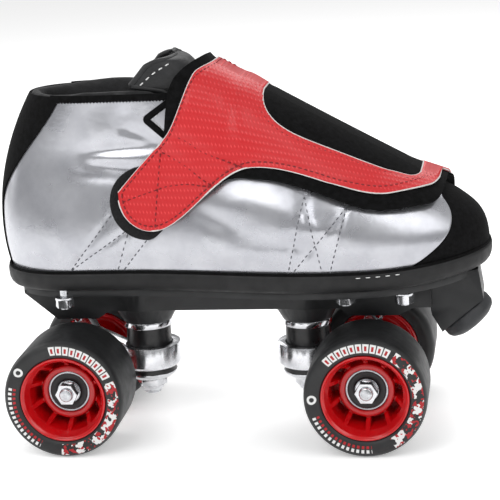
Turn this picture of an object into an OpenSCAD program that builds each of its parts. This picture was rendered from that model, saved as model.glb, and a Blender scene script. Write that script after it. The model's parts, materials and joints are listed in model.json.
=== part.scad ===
// Quad roller skate for jam skating, right foot, with a hook-and-loop strap over the laces.
// Origin: on the floor, midway along and across the skate. +X toe, +Y inner side, +Z up. Sizes in mm.

/* [Wheels] */
// Diameter of a wheel
wheel_d = 62; // [58:1:64]
// Width of a wheel
wheel_w = 40; // [38:1:41]
// Distance between the front and the rear axle
wheelbase = 154; // [150:1:158]
// Distance between the outer faces of a pair of wheels
track_w = 122; // [120:1:126]
// Number of ribs in a hub
rib_count = 10; // [8:1:12]

/* [Trucks] */
// Distance from an axle to its kingpin, measured along the skate
kingpin_gap = 34; // [33:0.5:35]
// Height of the middle of the two cushions
cushion_z = 37.2; // [36:0.1:38]
// Distance from a kingpin to the ball of the pivot pin, measured along the skate
ball_gap = 30.5; // [29.5:0.5:31]
// Height of the ball of the pivot pin
ball_z = 66.8; // [66:0.1:67.5]
// Diameter of an axle
axle_d = 7; // [7:1:8]

/* [Plate and sole] */
// Height of the top of the plate, where the sole rests
plate_z = 80; // [78:0.5:82]
// Thickness of the sole under the heel
sole_t = 10; // [8:0.5:12]
// How far the toe end of the sole rises
toe_spring = 6; // [4:0.5:8]

/* [Boot] */
// Length of the whole skate
boot_len = 257; // [250:1:262]
// Width of the upper at the heel
heel_w = 64; // [60:1:68]
// Width of the upper at the ball of the foot
ball_w = 88; // [82:1:94]
// Height of the collar
collar_z = 180.5; // [176:0.5:184]
// Thickness of the upper's outer material
skin_t = 2.4; // [2:0.1:3]

/* [Hidden] */

$fn = 64;

// Axles and kingpins
axle_z = wheel_d / 2;
axle_mid_x = -12;
front_axle_x = axle_mid_x + wheelbase / 2;
rear_axle_x = axle_mid_x - wheelbase / 2;
front_king_x = front_axle_x - kingpin_gap;
rear_king_x = rear_axle_x + kingpin_gap;

// Wheels, measured outward from the middle plane of the skate
wheel_out = track_w / 2;
wheel_in = wheel_out - wheel_w;
hub_r = 22.2;
bearing_r = 11;
bearing_w = 7;
core_r = 6;
core_gap = 0.05;
inner_bearing_at = wheel_in + 1.5;
bearing_spacing = 16.5;
outer_bearing_at = inner_bearing_at + bearing_spacing;
axle_r = axle_d / 2;
axle_nut_t = 5.2;
axle_washer_t = 0.8;

// Truck stack, heights above the floor
king_r = 4.5;
ring_r = 16.4;
ring_low_z = cushion_z - 6.2;
ring_high_z = cushion_z + 6;
web_t = 4;
upper_washer_z = ring_high_z + 9.8;
lower_washer_z = ring_low_z - 3;
washer_t = 3.4;
king_nut_t = 7.5;
cup_r = 7.5;
ball_r = 5;
pin_r = 3.5;
pin_tilt = 45;

// Plate
flange_t = 4;
spine_half = 16;
spine_z = 65;
boss_r = 13;
screw_r = 2.4;
screw_clear = 0.2;
head_r = 5;
head_t = 1.6;
screw_y = 25;
screw_xs = [-93, 54, 84];
nut_h = 5.5;

// Toe plug: centre of its back face and the way it faces
plug_x = 112.6;
plug_z = 59.4;
plug_tilt = 39;
plug_r = 14.5;

// Sole
sole_z = plate_z + sole_t;
board_t = 2.5;
spring_start_x = 60;

// Boot surface
counter_t = 1.1;
heel_x0 = -boot_len / 2 + counter_t;
toe_x0 = boot_len / 2 - 1.3;
heel_bulge_z = 114;
toe_turn_z = 114;
toe_soft = 5;
front_run = 1.75;
heel_round = 38;
front_power = 2.15;
heel_power = 2.2;
throat_half = 12;

function smooth(t) = let (c = min(1, max(0, t))) c * c * (3 - 2 * c);
function unit(v) = v / norm(v);
function signed_pow(v, p) = v < 0 ? -pow(-v, p) : pow(v, p);

// Back and front of the upper at a height
function heel_x(z) = heel_x0 + 18 * pow((z - heel_bulge_z) / 63, 2);
function instep_dip(z) = 8.5 * smooth((z - 121) / 12) * (1 - smooth((z - 187) / 14));
function toe_x(z) = toe_x0 - front_run * toe_soft * ln(1 + exp((z - toe_turn_z) / toe_soft)) - instep_dip(z);
// Height of the upper's ridge over a place along the skate
ridge_table = [for (z = [215 : -0.5 : 60]) [toe_x(z), z]];
function ridge_z(x) = lookup(x, ridge_table);
// Widest place of the outline at a height
function mid_x(z) = heel_x(z) + (toe_x(z) - heel_x(z)) * (0.70 - 0.24 * smooth((z - 100) / 60));
function base_half(x) = heel_w / 2 + (ball_w - heel_w) / 2 * smooth((x + 60) / 105);
function squeeze(z) = (1 - 0.2 * smooth((z - 105) / 50)) * (0.95 + 0.05 * smooth((z - sole_z) / 14));
// Square of the half width: an outline rounded at both ends, negative outside it
function half_sq(x, z) =
    let (xm = mid_x(z), xf = toe_x(z), xb = heel_x(z))
    let (f = x > xm ? 1 - pow((x - xm) / (xf - xm), front_power) : 1)
    let (xh = xb + heel_round)
    let (b = x < xh ? 1 - pow((xh - x) / heel_round, heel_power) : 1)
    pow(base_half(x) * squeeze(z), 2) * signed_pow(f, 2 / front_power) * signed_pow(b, 2 / heel_power);
function half_w(x, z) = sqrt(max(0, half_sq(x, z)));
// The toe leans to the inner side
function middle_y(x) = 4 * smooth((x - 20) / 110);

// Point of the upper at (x, z) on one side, moved out by d; side is -1 outer, 1 inner
function skin_point(x, z, side, d) =
    let (h = 0.4, y = side * half_w(x, z))
    let (nx = (half_sq(x - h, z) - half_sq(x + h, z)) / (2 * h))
    let (nz = (half_sq(x, z - h) - half_sq(x, z + h)) / (2 * h))
    [x, middle_y(x) + y, z] + d * unit([nx, 2 * y, nz]);

// The same surface by height and angle: 0 is the toe, 180 the heel, positive the outer side
function around_x(z, a) =
    let (c = cos(a), xm = mid_x(z))
    c > 0 ? xm + (toe_x(z) - xm) * pow(c, 2 / front_power) : xm + (xm - heel_x(z)) * c;
function around_point(z, a, d) = skin_point(around_x(z, a), z, sin(a) > 0 ? -1 : 1, d);
// Angle at which the outline of height z reaches x, in front of its widest place
function angle_at(x, z) =
    let (xm = mid_x(z), r = (x - xm) / (toe_x(z) - xm))
    r >= 0 ? acos(min(1, pow(r, front_power / 2))) : acos(max(-1, (x - xm) / (xm - heel_x(z))));

function spring_share(x) = max(0, (x - spring_start_x) / (boot_len / 2 - spring_start_x));
function sole_top(x) = sole_z + toe_spring * pow(spring_share(x), 2);
// Front edge of the quarters, which meets the toe cap
function seam_x(z) = 108 - 0.055 * pow(min(z, 122) - 114, 2);
function seam_angle(z) = max(angle_at(seam_x(z), z), throat_angle(z));
function throat_angle(z) =
    asin(min(1, pow(throat_half / (base_half(mid_x(z)) * squeeze(z)), front_power / 2)));
function steps(lo, hi, n) = [for (i = [0 : n]) lo + (hi - lo) * i / n];

// A closed skin between an outer and an inner grid of points with the same rows and columns
module skin(outer, inner) {
    rows = len(outer);
    cols = len(outer[0]);
    count = rows * cols;
    function at(r, c) = r * cols + c;
    function quad(a, b, c, d) = [[a, b, c], [a, c, d]];
    faces = [
        for (r = [0 : rows - 2], c = [0 : cols - 2])
            each quad(at(r, c), at(r + 1, c), at(r + 1, c + 1), at(r, c + 1)),
        for (r = [0 : rows - 2], c = [0 : cols - 2])
            each quad(count + at(r, c), count + at(r, c + 1), count + at(r + 1, c + 1), count + at(r + 1, c)),
        for (c = [0 : cols - 2])
            each quad(at(0, c), at(0, c + 1), count + at(0, c + 1), count + at(0, c)),
        for (c = [0 : cols - 2])
            each quad(at(rows - 1, c + 1), at(rows - 1, c),
                count + at(rows - 1, c), count + at(rows - 1, c + 1)),
        for (r = [0 : rows - 2])
            each quad(at(r + 1, 0), at(r, 0), count + at(r, 0), count + at(r + 1, 0)),
        for (r = [0 : rows - 2])
            each quad(at(r, cols - 1), at(r + 1, cols - 1),
                count + at(r + 1, cols - 1), count + at(r, cols - 1))
    ];
    polyhedron(points = concat([for (r = outer) each r], [for (r = inner) each r]), faces = faces);
}

// Part of the upper between two heights and two angles, both given as lists of one entry per row
module around_skin(zs, starts, ends, cols, d_out, d_in) {
    rows = [for (i = [0 : len(zs) - 1]) [zs[i], starts[i], ends[i]]];
    outer = [for (r = rows) [for (a = steps(r[1], r[2], cols)) around_point(r[0], a, d_out)]];
    inner = [for (r = rows) [for (a = steps(r[1], r[2], cols)) around_point(r[0], a, d_in)]];
    skin(outer, inner);
}

// ---- Sole ----

// Outline of the sole: the upper's outline low down, moved out by d
function sole_outline(d) = [for (a = steps(0, 355, 71))
    let (p = around_point(sole_z + 8, a, d)) [p[0], p[1]]];

// Side view of a layer that follows the toe spring, from z_low to z_high under the heel
spring_xs = steps(spring_start_x, boot_len / 2, 8);
module layer_side(z_low, z_high, x_start) {
    function rise(x) = sole_top(x) - sole_z;
    rotate([90, 0, 0]) linear_extrude(120, center = true)
        polygon(concat([[x_start, z_low]], [for (x = spring_xs) [x, z_low + rise(x)]],
            [for (i = [8 : -1 : 0]) [spring_xs[i], z_high + rise(spring_xs[i])]], [[x_start, z_high]]));
}

module layer(z_low, z_high, x_start, d) {
    intersection() {
        layer_side(z_low, z_high, x_start);
        linear_extrude(200) polygon(sole_outline(d));
    }
}

module at_screws() {
    for (x = screw_xs, s = [-1, 1]) translate([x, s * screw_y, 0]) children();
}

module screw_holes(z_low, z_high) {
    at_screws() translate([0, 0, z_low]) cylinder(r = screw_r + screw_clear, h = z_high - z_low);
}

// The screws' heads are sunk in the sole, under the insole board
head_top_z = sole_z - 0.2;

module outsole() {
    color("dimgray") difference() {
        layer(plate_z, sole_z, -boot_len / 2, 1.3);
        screw_holes(plate_z - 1, sole_z);
        at_screws() translate([0, 0, head_top_z - head_t]) cylinder(r = head_r + screw_clear, h = 8);
    }
}

module insole_board() {
    color("tan") layer(sole_z, sole_z + board_t, -boot_len / 2, -skin_t - 2.6);
}

// ---- Upper ----

quarter_rows = 20;
quarter_cols = 28;

// Lowest row of the upper stands on the sole; rows get closer to level towards the collar
module quarter(side) {
    zs = steps(0, 1, quarter_rows);
    function row_z(t, a) =
        let (low = sole_top(around_x(sole_z + 4, a)) + 0.1)
        low + t * (collar_z - low);
    function start_angle(t) = seam_angle(row_z(t, 30)) + 0.8;
    function grid(d) = [for (t = zs) [for (a = steps(start_angle(t), 179.6, quarter_cols))
        around_point(row_z(t, a), side < 0 ? a : 360 - a, d)]];
    if (side < 0) skin(grid(-skin_t), grid(0));
    else skin(grid(0), grid(-skin_t));
}

module lateral_quarter() { color("silver") quarter(-1); }
module medial_quarter() { color("silver") quarter(1); }

module toe_cap() {
    top = 127;
    function row_z(t, a) =
        let (low = sole_top(around_x(sole_z + 4, a)) + 0.1)
        low + t * (top - low);
    function limit(t) = seam_angle(row_z(t, 30)) - 0.4;
    function grid(d) = [for (t = steps(0, 1, 14)) [for (a = steps(-limit(t), limit(t), 30))
        around_point(row_z(t, a), a, d)]];
    color("#222222") skin(grid(-skin_t), grid(0));
}

// Outer strips that are sewn on the quarters
trim_gap = 0.15;

module heel_counter() {
    zs = steps(sole_z + 0.5, collar_z - 0.5, 16);
    widths = [for (z = zs) 1.2 + 19 * smooth((z - 120) / 58)];
    spans = [for (i = [0 : 16]) 180 - angle_at(heel_x(zs[i]) + widths[i], zs[i])];
    color("#1e1e1e")
        around_skin(zs, [for (s = spans) 180 - s], [for (s = spans) 180 + s], 14, trim_gap, counter_t);
}

module collar_band() {
    zs = steps(collar_z - 6, collar_z - 0.3, 3);
    color("#242424") {
        around_skin(zs, [for (z = zs) angle_at(-24, z)],
            [for (z = zs) angle_at(heel_x(z) + 23.5, z)], 24, trim_gap, 0.9);
        around_skin(zs, [for (z = zs) 360 - angle_at(heel_x(z) + 23.5, z)],
            [for (z = zs) 360 - angle_at(-24, z)], 24, trim_gap, 0.9);
    }
}

module collar_padding() {
    zs = steps(collar_z - 28, collar_z + 1.5, 6);
    color("#2a2a2a") around_skin(zs, [for (z = zs) 70], [for (z = zs) 290], 44, -skin_t - 6.5, -skin_t - 0.3);
}

// Tongue: lies under the throat and rises in front of the ankle
tongue_top_z = 203;

module tongue() {
    zs = steps(128, tongue_top_z, 22);
    function back_x(z) = -50 + max(0, (z - 184) / 0.8);
    function limit(z) = z < 150 ? min(angle_at(back_x(z), z), 62) : min(angle_at(back_x(z), z), 66);
    limits = [for (z = zs) max(8, limit(z))];
    color("#262626")
        around_skin(zs, [for (a = limits) -a], [for (a = limits) a], 22, -skin_t - 5, -skin_t - 0.6);
}

// Eyestays: strips along both sides of the throat
eyestay_rows = 20;
eyestay_low_z = 132;
eyestay_high_z = 164;
eyestay_t = 0.65;
eyelet_t = 0.35;

module eyestay(side) {
    zs = steps(eyestay_low_z, eyestay_high_z, eyestay_rows);
    starts = [for (z = zs) throat_angle(z) + 1.5];
    ends = [for (z = zs) throat_angle(z) + 20];
    if (side < 0) around_skin(zs, starts, ends, 4, trim_gap, eyestay_t);
    else around_skin(zs, [for (e = ends) 360 - e], [for (s = starts) 360 - s], 4, trim_gap, eyestay_t);
}

module eyestays() { color("#303030") { eyestay(-1); eyestay(1); } }

// Eyelets: six to a side, on the middle of the eyestays
eyelet_count = 6;
eyelet_zs = steps(136, 160, eyelet_count - 1);
function eyelet_angle(z) = throat_angle(z) + 9;
function eyelet_point(z, side, d) = around_point(z, side < 0 ? eyelet_angle(z) : 360 - eyelet_angle(z), d);

// Places children on the line from a to b, their +Z along it
module from_to(a, b) {
    v = b - a;
    translate(a) rotate([0, acos(v[2] / norm(v)), atan2(v[1], v[0])]) children();
}

module eyelets() {
    color("silver") for (z = eyelet_zs, side = [-1, 1])
        from_to(eyelet_point(z, side, eyestay_t + 0.3), eyelet_point(z, side, 2.1)) difference() {
            cylinder(r = 3.2, h = eyelet_t, $fn = 24);
            translate([0, 0, -1]) cylinder(r = 1.6, h = 3, $fn = 24);
        }
}

// Lace: a bar from each eyelet over the tongue to the eyelet across
lace_r = 0.65;
lace_lift = 2.35;
lace_rise = 6;
lace_sides = 8;

// Round bar along a path that mostly runs sideways
module tube(path, r) {
    n = len(path);
    function along(i) = unit(path[min(n - 1, i + 1)] - path[max(0, i - 1)]);
    function ring(i) =
        let (t = along(i), u = unit(cross(t, [0, 0, 1])), v = cross(u, t))
        [for (k = [0 : lace_sides - 1])
            let (a = k * 360 / lace_sides) path[i] + r * (cos(a) * u + sin(a) * v)];
    function at(i, k) = i * lace_sides + k % lace_sides;
    sides = [for (i = [0 : n - 2], k = [0 : lace_sides - 1])
        [at(i, k), at(i, k + 1), at(i + 1, k + 1), at(i + 1, k)]];
    first = [for (k = [lace_sides - 1 : -1 : 0]) at(0, k)];
    last = [for (k = [0 : lace_sides - 1]) at(n - 1, k)];
    polyhedron(points = [for (i = [0 : n - 1]) each ring(i)], faces = concat(sides, [first, last]));
}

module lace() {
    color("#151515") for (z = eyelet_zs) {
        end = eyelet_angle(z);
        path = [for (f = steps(-1, 1, 10)) around_point(z + lace_rise * (1 - f * f), f * end, lace_lift)];
        tube(path, lace_r);
    }
}

// ---- Strap ----

// Lower and upper edge of the strap on the outer side: a round tab, then the side of the panel
tab_x = -41;
tab_z = 130;
tab_r = 18;
strap_end_x = 104;
function tab_half(x) = x < tab_x ? sqrt(max(0, tab_r * tab_r - pow(x - tab_x, 2))) : tab_r;
function strap_low_z(x) = tab_z - tab_half(x) + 30 * smooth((x - tab_x) / 52) - 18 * smooth((x - 11) / 68);
function strap_high_z(x) = min(tab_z + 4 + 1.03 * (x - tab_x + 17) + 0.11 * pow(max(0, x - tab_x - 9), 2),
    188 + 0.2 * (x + 18));

// Hinge line along the inner side, where the panel is sewn down
hinge_a = [100, 42, 111];
hinge_b = [-22, 37, 160];
function hinge_z(x) = hinge_a[2] + (hinge_b[2] - hinge_a[2]) * (hinge_a[0] - x) / (hinge_a[0] - hinge_b[0]);

// Point of the strap: v is -1 low on the outer side, 0 on the ridge, 1 low on the inner side
strap_floor = 104;
strap_lift = 1.6;
function strap_top(x) = min(ridge_z(x), 205) - 0.6;
function strap_point(x, v, d) =
    let (z = strap_top(x) - (strap_top(x) - strap_floor) * v * v)
    skin_point(x, z, v < 0 ? -1 : 1, d + strap_lift * smooth((0.95 - abs(v)) * 2.2));
function v_at(x, z) = sqrt(max(0, min(1, (strap_top(x) - z) / (strap_top(x) - strap_floor))));

// Edges of the strap at x, drawn in by m
ridge_start_x = -2;
function strap_start(x, m) = -v_at(x, strap_low_z(x) + m);
function strap_end(x, m) = x < ridge_start_x + m
    ? -v_at(x, strap_high_z(x) - m)
    : v_at(x, hinge_z(x) + 3 + m) * smooth((x - ridge_start_x - m) / 14);

// The cover's grid: x of each row, and the places v across a row. The backing adds a border to it.
strap_start_x = tab_x - tab_r + 1;
strap_xs = [for (t = steps(0, 1, 34)) strap_start_x + (strap_end_x - strap_start_x) * pow(t, 1.4)];
function strap_vs(x) = steps(strap_start(x, 1), strap_end(x, 1), 16);

module strap_backing() {
    xs = concat([strap_start_x - 1.6], strap_xs, [strap_end_x + 2]);
    function vs(x) = concat([strap_start(x, -1.5)], strap_vs(x), [strap_end(x, -1.5)]);
    function grid(d) = [for (x = xs) [for (v = vs(x)) strap_point(x, v, d)]];
    color("#111111") skin(grid(3.5), grid(2.5));
}

module strap_cover() {
    function grid(d) = [for (x = strap_xs) [for (v = strap_vs(x)) strap_point(x, v, d)]];
    color("#e02a2a") skin(grid(4.9), grid(3.8));
}

module hook_pad() {
    function grid(d) = [for (x = steps(-52, -26, 8))
        [for (z = steps(strap_low_z(x) + 3, strap_low_z(x) + 16, 5)) skin_point(x, z, -1, d)]];
    color("#1b1b1b") skin(grid(2.3), grid(1.7));
}

// Loop patch under the tab: round at the back, then as wide as the tab's arm
loop_x = -43;
loop_r = 20;
function loop_half(x) = sqrt(max(0, loop_r * loop_r - pow(min(0, x - loop_x), 2)));
module loop_patch() {
    function low_z(x) = tab_z - 3 - loop_half(x) + 24 * smooth((x - loop_x) / 45);
    function grid(d) = [for (x = steps(loop_x - loop_r + 1, -20, 14))
        [for (z = steps(low_z(x), tab_z - 3 + loop_half(x), 8)) skin_point(x, z, -1, d)]];
    color("#1b1b1b") skin(grid(1.25), grid(trim_gap + 0.2));
}

// ---- Plate ----

// Places children at a truck: +X outward from the kingpin; end is 1 at the front, -1 at the rear
module at_truck(end) {
    if (end > 0) translate([front_king_x, 0, 0]) children();
    else translate([rear_king_x, 0, 0]) rotate([0, 0, 180]) children();
}

module at_trucks() { for (end = [-1, 1]) at_truck(end) children(); }

// Places children at the pivot ball of a truck, +Z down and outward along the pin
module at_ball() {
    translate([ball_gap, 0, ball_z]) rotate([0, 180 - pin_tilt, 0]) children();
}

// Places children at the toe plug's back face, +Z down and forward
module at_plug() {
    translate([plug_x, 0, plug_z]) rotate([0, 180 - plug_tilt, 0]) children();
}

module plate_flange() {
    layer(plate_z - flange_t, plate_z, -118, -5);
}

module plate_spine() {
    rotate([90, 0, 0]) linear_extrude(2 * spine_half, center = true)
        polygon([[-117, plate_z - 3], [-117, 75.5], [-100, 61], [-78, 61], [-72, spine_z], [50, spine_z],
            [54, 61], [80, 61], [88, spine_z], [97, spine_z], [97, plate_z - 3]]);
}

module toe_housing() {
    rotate([90, 0, 0]) linear_extrude(26, center = true)
        polygon([[94, plate_z - 2], [97, 60], [plug_x - 10.5, plug_z - 8.5],
            [plug_x + 10.8, plug_z + 8.8], [121, 84], [100, 80.5]]);
}

module plate() {
    color("#2c2c2e") difference() {
        union() {
            plate_flange();
            plate_spine();
            toe_housing();
            at_trucks() {
                translate([0, 0, upper_washer_z + washer_t]) cylinder(r1 = boss_r, r2 = boss_r + 5, h = 9);
                translate([0, 0, spine_z]) cylinder(r = boss_r + 5, h = 11);
            }
        }
        at_trucks() {
            // Pocket over the pivot, with room for the hanger to lean
            translate([ball_gap - 7, -11, 50]) cube([30, 22, 22]);
        }
        at_trucks() translate([0, 0, 50]) cylinder(r = king_r, h = plate_z - 54);
        at_trucks() at_ball() translate([0, 0, -9]) cylinder(r = cup_r, h = 12);
        at_plug() translate([0, 0, -16]) cylinder(r = 4, h = 20);
        screw_holes(plate_z - flange_t - 2, plate_z + 10);
    }
    color("#2c2c2e") at_trucks() difference() {
        // Socket that holds the pivot cup, hung from the roof of the pocket
        intersection() {
            at_ball() translate([0, 0, -14]) cylinder(r = cup_r + 3, h = 14.5);
            translate([ball_gap - 14, -10.5, 50]) cube([40, 21, 22.5]);
        }
        at_ball() translate([0, 0, -9]) cylinder(r = cup_r, h = 12);
    }
}

screw_low_z = plate_z - flange_t - nut_h - 1;

module plate_screws() {
    color("silver") at_screws() {
        translate([0, 0, head_top_z - head_t]) cylinder(r = head_r, h = head_t, $fn = 32);
        translate([0, 0, screw_low_z]) cylinder(r = screw_r, h = head_top_z - 1 - screw_low_z, $fn = 24);
    }
}

module plate_nuts() {
    color("gainsboro") at_screws() translate([0, 0, plate_z - flange_t - nut_h]) difference() {
        union() {
            cylinder(r = 4.9, h = nut_h - 1.2, $fn = 6);
            translate([0, 0, nut_h - 1.2]) cylinder(r = 5, h = 1.2, $fn = 32);
        }
        translate([0, 0, -1]) cylinder(r = screw_r, h = nut_h + 2, $fn = 24);
    }
}

module toe_plug() {
    color("#3a3a3a") at_plug() difference() {
        rotate_extrude() polygon([[0, 0.2], [plug_r - 0.8, 0.2], [plug_r, 1], [plug_r, 5.4],
            [plug_r - 1.2, 7.2], [plug_r - 4, 8.8], [plug_r - 8, 9.6], [0, 10]]);
        translate([0, 0, -1]) cylinder(r = 4, h = 12);
        translate([0, 0, 5]) cylinder(r = 7, h = 6);
    }
}

module toe_plug_bolt() {
    color("silver") at_plug() {
        translate([0, 0, -14]) cylinder(r = 4, h = 19.2);
        translate([0, 0, 5]) difference() {
            cylinder(r = 6.5, h = 3.6);
            translate([0, 0, 1.4]) cylinder(r = 2.9, h = 4, $fn = 6);
        }
    }
}

module pivot_cups() {
    color("#8a8a8a") at_trucks() at_ball() difference() {
        translate([0, 0, -9]) cylinder(r = cup_r, h = 9);
        sphere(r = ball_r + core_gap, $fn = 64);
    }
}

// ---- Trucks ----

module kingpins() {
    end_z = lower_washer_z - washer_t - king_nut_t - 2;
    color("silver") at_trucks() translate([0, 0, end_z]) cylinder(r = king_r, h = 76 - end_z);
}

module kingpin_nuts() {
    color("gainsboro") at_trucks() translate([0, 0, lower_washer_z - washer_t - king_nut_t]) difference() {
        union() {
            translate([0, 0, 2.5]) cylinder(r = 8.2, h = king_nut_t - 2.5, $fn = 6);
            cylinder(r1 = 5.8, r2 = 6.8, h = 2.6, $fn = 32);
        }
        translate([0, 0, -1]) cylinder(r = king_r, h = king_nut_t + 2);
    }
}

module upper_cup_washers() {
    color("gainsboro") at_trucks() translate([0, 0, upper_washer_z]) difference() {
        cylinder(r = 12.8, h = washer_t);
        translate([0, 0, -1]) cylinder(r = king_r, h = washer_t + 2);
        translate([0, 0, -1]) cylinder(r = 12, h = 2);
    }
}

module lower_cup_washers() {
    color("gainsboro") at_trucks() translate([0, 0, lower_washer_z - washer_t]) difference() {
        rotate_extrude() polygon([[0, 0], [11.2, 0], [13.6, 2], [14, washer_t], [0, washer_t]]);
        translate([0, 0, -1]) cylinder(r = king_r, h = washer_t + 2);
        translate([0, 0, washer_t - 1]) cylinder(r = 12.6, h = 2);
    }
}

module upper_cushion() {
    color("#202020") translate([0, 0, cushion_z + web_t / 2]) difference() {
        cylinder(r = 11.9, h = upper_washer_z - cushion_z - web_t / 2 + 1);
        translate([0, 0, -1]) cylinder(r = king_r, h = 30);
    }
}

module lower_cushion() {
    color("#202020") translate([0, 0, lower_washer_z - 1]) difference() {
        union() {
            cylinder(r = 12.4, h = cushion_z - web_t / 2 - lower_washer_z + 1);
            translate([0, 0, 1]) cylinder(r = 13.5, h = 2.2);
        }
        translate([0, 0, -1]) cylinder(r = king_r, h = 30);
    }
}

module front_upper_cushion() { at_truck(1) upper_cushion(); }
module front_lower_cushion() { at_truck(1) lower_cushion(); }
module rear_upper_cushion() { at_truck(-1) upper_cushion(); }
module rear_lower_cushion() { at_truck(-1) lower_cushion(); }

pin_face = 5.8;
boss_l = 3.6;
locknut_l = 3.6;

module hanger() {
    axle_u = kingpin_gap;
    color("#d8dade") difference() {
        union() {
            translate([0, 0, ring_low_z]) cylinder(r1 = ring_r - 1.4, r2 = ring_r, h = 1.6);
            translate([0, 0, ring_low_z + 1.6]) cylinder(r = ring_r, h = ring_high_z - ring_low_z - 1.6);
            rotate([90, 0, 0]) linear_extrude(10, center = true)
                polygon([[12, ring_low_z + 1.5], [axle_u - 6, axle_z - 7], [axle_u + 5, axle_z - 5],
                    [axle_u + 7.5, axle_z + 3], [axle_u + 5.5, axle_z + 16], [axle_u + 3.6, ball_z - 7.2],
                    [ball_gap + 3.2, ball_z - 4.9], [ball_gap - 3, ball_z - 16.5], [12, ring_high_z - 0.4]]);
            at_ball() translate([0, 0, pin_face]) cylinder(r = 5.6, h = boss_l);
            translate([axle_u, 0, axle_z]) rotate([90, 0, 0]) {
                cylinder(r = 7.2, h = 2 * (wheel_in - 2), center = true);
                cylinder(r = 5, h = 2 * inner_bearing_at, center = true);
            }
            // Arms from the ring to the ends of the axle housing
            for (s = [-1, 1]) translate([0, 0, axle_z - 3.5]) linear_extrude(9)
                polygon([[6, s * 14], [13, s * 9], [axle_u, s * 3],
                    [axle_u + 4, s * 16], [axle_u - 5, s * 17.5]]);
        }
        translate([0, 0, cushion_z + web_t / 2]) cylinder(r = 12.5, h = 20);
        translate([0, 0, cushion_z - web_t / 2 - 20]) cylinder(r = 12.9, h = 20);
        translate([0, 0, 20]) cylinder(r = king_r + 2.2, h = 30);
        translate([axle_u, 0, axle_z]) rotate([90, 0, 0]) cylinder(r = axle_r, h = 200, center = true);
        at_ball() translate([0, 0, -2]) cylinder(r = pin_r, h = 30);
        at_ball() translate([0, 0, pin_face + boss_l]) cylinder(r = 6.2, h = locknut_l + 3);
    }
}

module pivot_pin() {
    color("silver") at_ball() {
        sphere(r = ball_r, $fn = 64);
        translate([0, 0, 2]) cylinder(r = pin_r, h = pin_face + boss_l + locknut_l - 0.6);
    }
}

module pivot_locknut() {
    color("gainsboro") at_ball() translate([0, 0, pin_face + boss_l]) difference() {
        cylinder(r = 5.6, h = locknut_l, $fn = 6);
        translate([0, 0, -1]) cylinder(r = pin_r, h = locknut_l + 2);
    }
}

module axle() {
    half = outer_bearing_at + bearing_w + axle_washer_t + axle_nut_t + 1.6;
    color("silver") translate([kingpin_gap, 0, axle_z]) rotate([90, 0, 0])
        cylinder(r = axle_r, h = 2 * half, center = true);
}

// Nut and washer at both ends of an axle
module axle_nut_pair() {
    color("gainsboro") for (s = [-1, 1]) translate([kingpin_gap, s * (outer_bearing_at + bearing_w), axle_z])
        rotate([-90 * s, 0, 0]) difference() {
            union() {
                cylinder(r = 5.6, h = axle_washer_t);
                translate([0, 0, axle_washer_t]) cylinder(r = 5.8, h = axle_nut_t, $fn = 6);
            }
            translate([0, 0, -1]) cylinder(r = axle_r, h = 10);
        }
}

// Inner rings of both bearings of both wheels, with the tube that spaces them
module bearing_core_set() {
    color("gray") for (s = [-1, 1]) translate([kingpin_gap, 0, axle_z]) rotate([-90 * s, 0, 0]) difference() {
        union() {
            translate([0, 0, inner_bearing_at]) cylinder(r = core_r, h = bearing_w);
            translate([0, 0, outer_bearing_at]) cylinder(r = core_r, h = bearing_w);
            translate([0, 0, inner_bearing_at + bearing_w])
                cylinder(r = 4.8, h = bearing_spacing - bearing_w);
        }
        cylinder(r = axle_r, h = 100);
    }
}

module front_hanger() { at_truck(1) hanger(); }
module front_pivot_pin() { at_truck(1) pivot_pin(); }
module front_pivot_locknut() { at_truck(1) pivot_locknut(); }
module front_axle() { at_truck(1) axle(); }
module front_axle_nuts() { at_truck(1) axle_nut_pair(); }
module front_bearing_cores() { at_truck(1) bearing_core_set(); }
module rear_hanger() { at_truck(-1) hanger(); }
module rear_pivot_pin() { at_truck(-1) pivot_pin(); }
module rear_pivot_locknut() { at_truck(-1) pivot_locknut(); }
module rear_axle() { at_truck(-1) axle(); }
module rear_axle_nuts() { at_truck(-1) axle_nut_pair(); }
module rear_bearing_cores() { at_truck(-1) bearing_core_set(); }

// ---- Wheels ----

// Places children on an axle, +Z outward from the middle of the skate; side is -1 right, 1 left
module at_wheel(x, side) { translate([x, 0, axle_z]) rotate([-90 * side, 0, 0]) children(); }

function arc(cx, cy, r, a0, a1, n) = [for (a = steps(a0, a1, n)) [cx + r * cos(a), cy + r * sin(a)]];

module tyre() {
    shoulder = 2.2;
    inner_shoulder = 3.5;
    color("#2b2b2c") rotate_extrude($fn = 96) polygon(concat(
        [[hub_r, wheel_in + 1.5]],
        arc(axle_z - inner_shoulder, wheel_in + inner_shoulder, inner_shoulder, -90, 0, 6),
        arc(axle_z - shoulder, wheel_out - shoulder, shoulder, 0, 90, 5),
        [[hub_r + 3, wheel_out - 0.6], [hub_r, wheel_out - 1]]));
}

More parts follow.
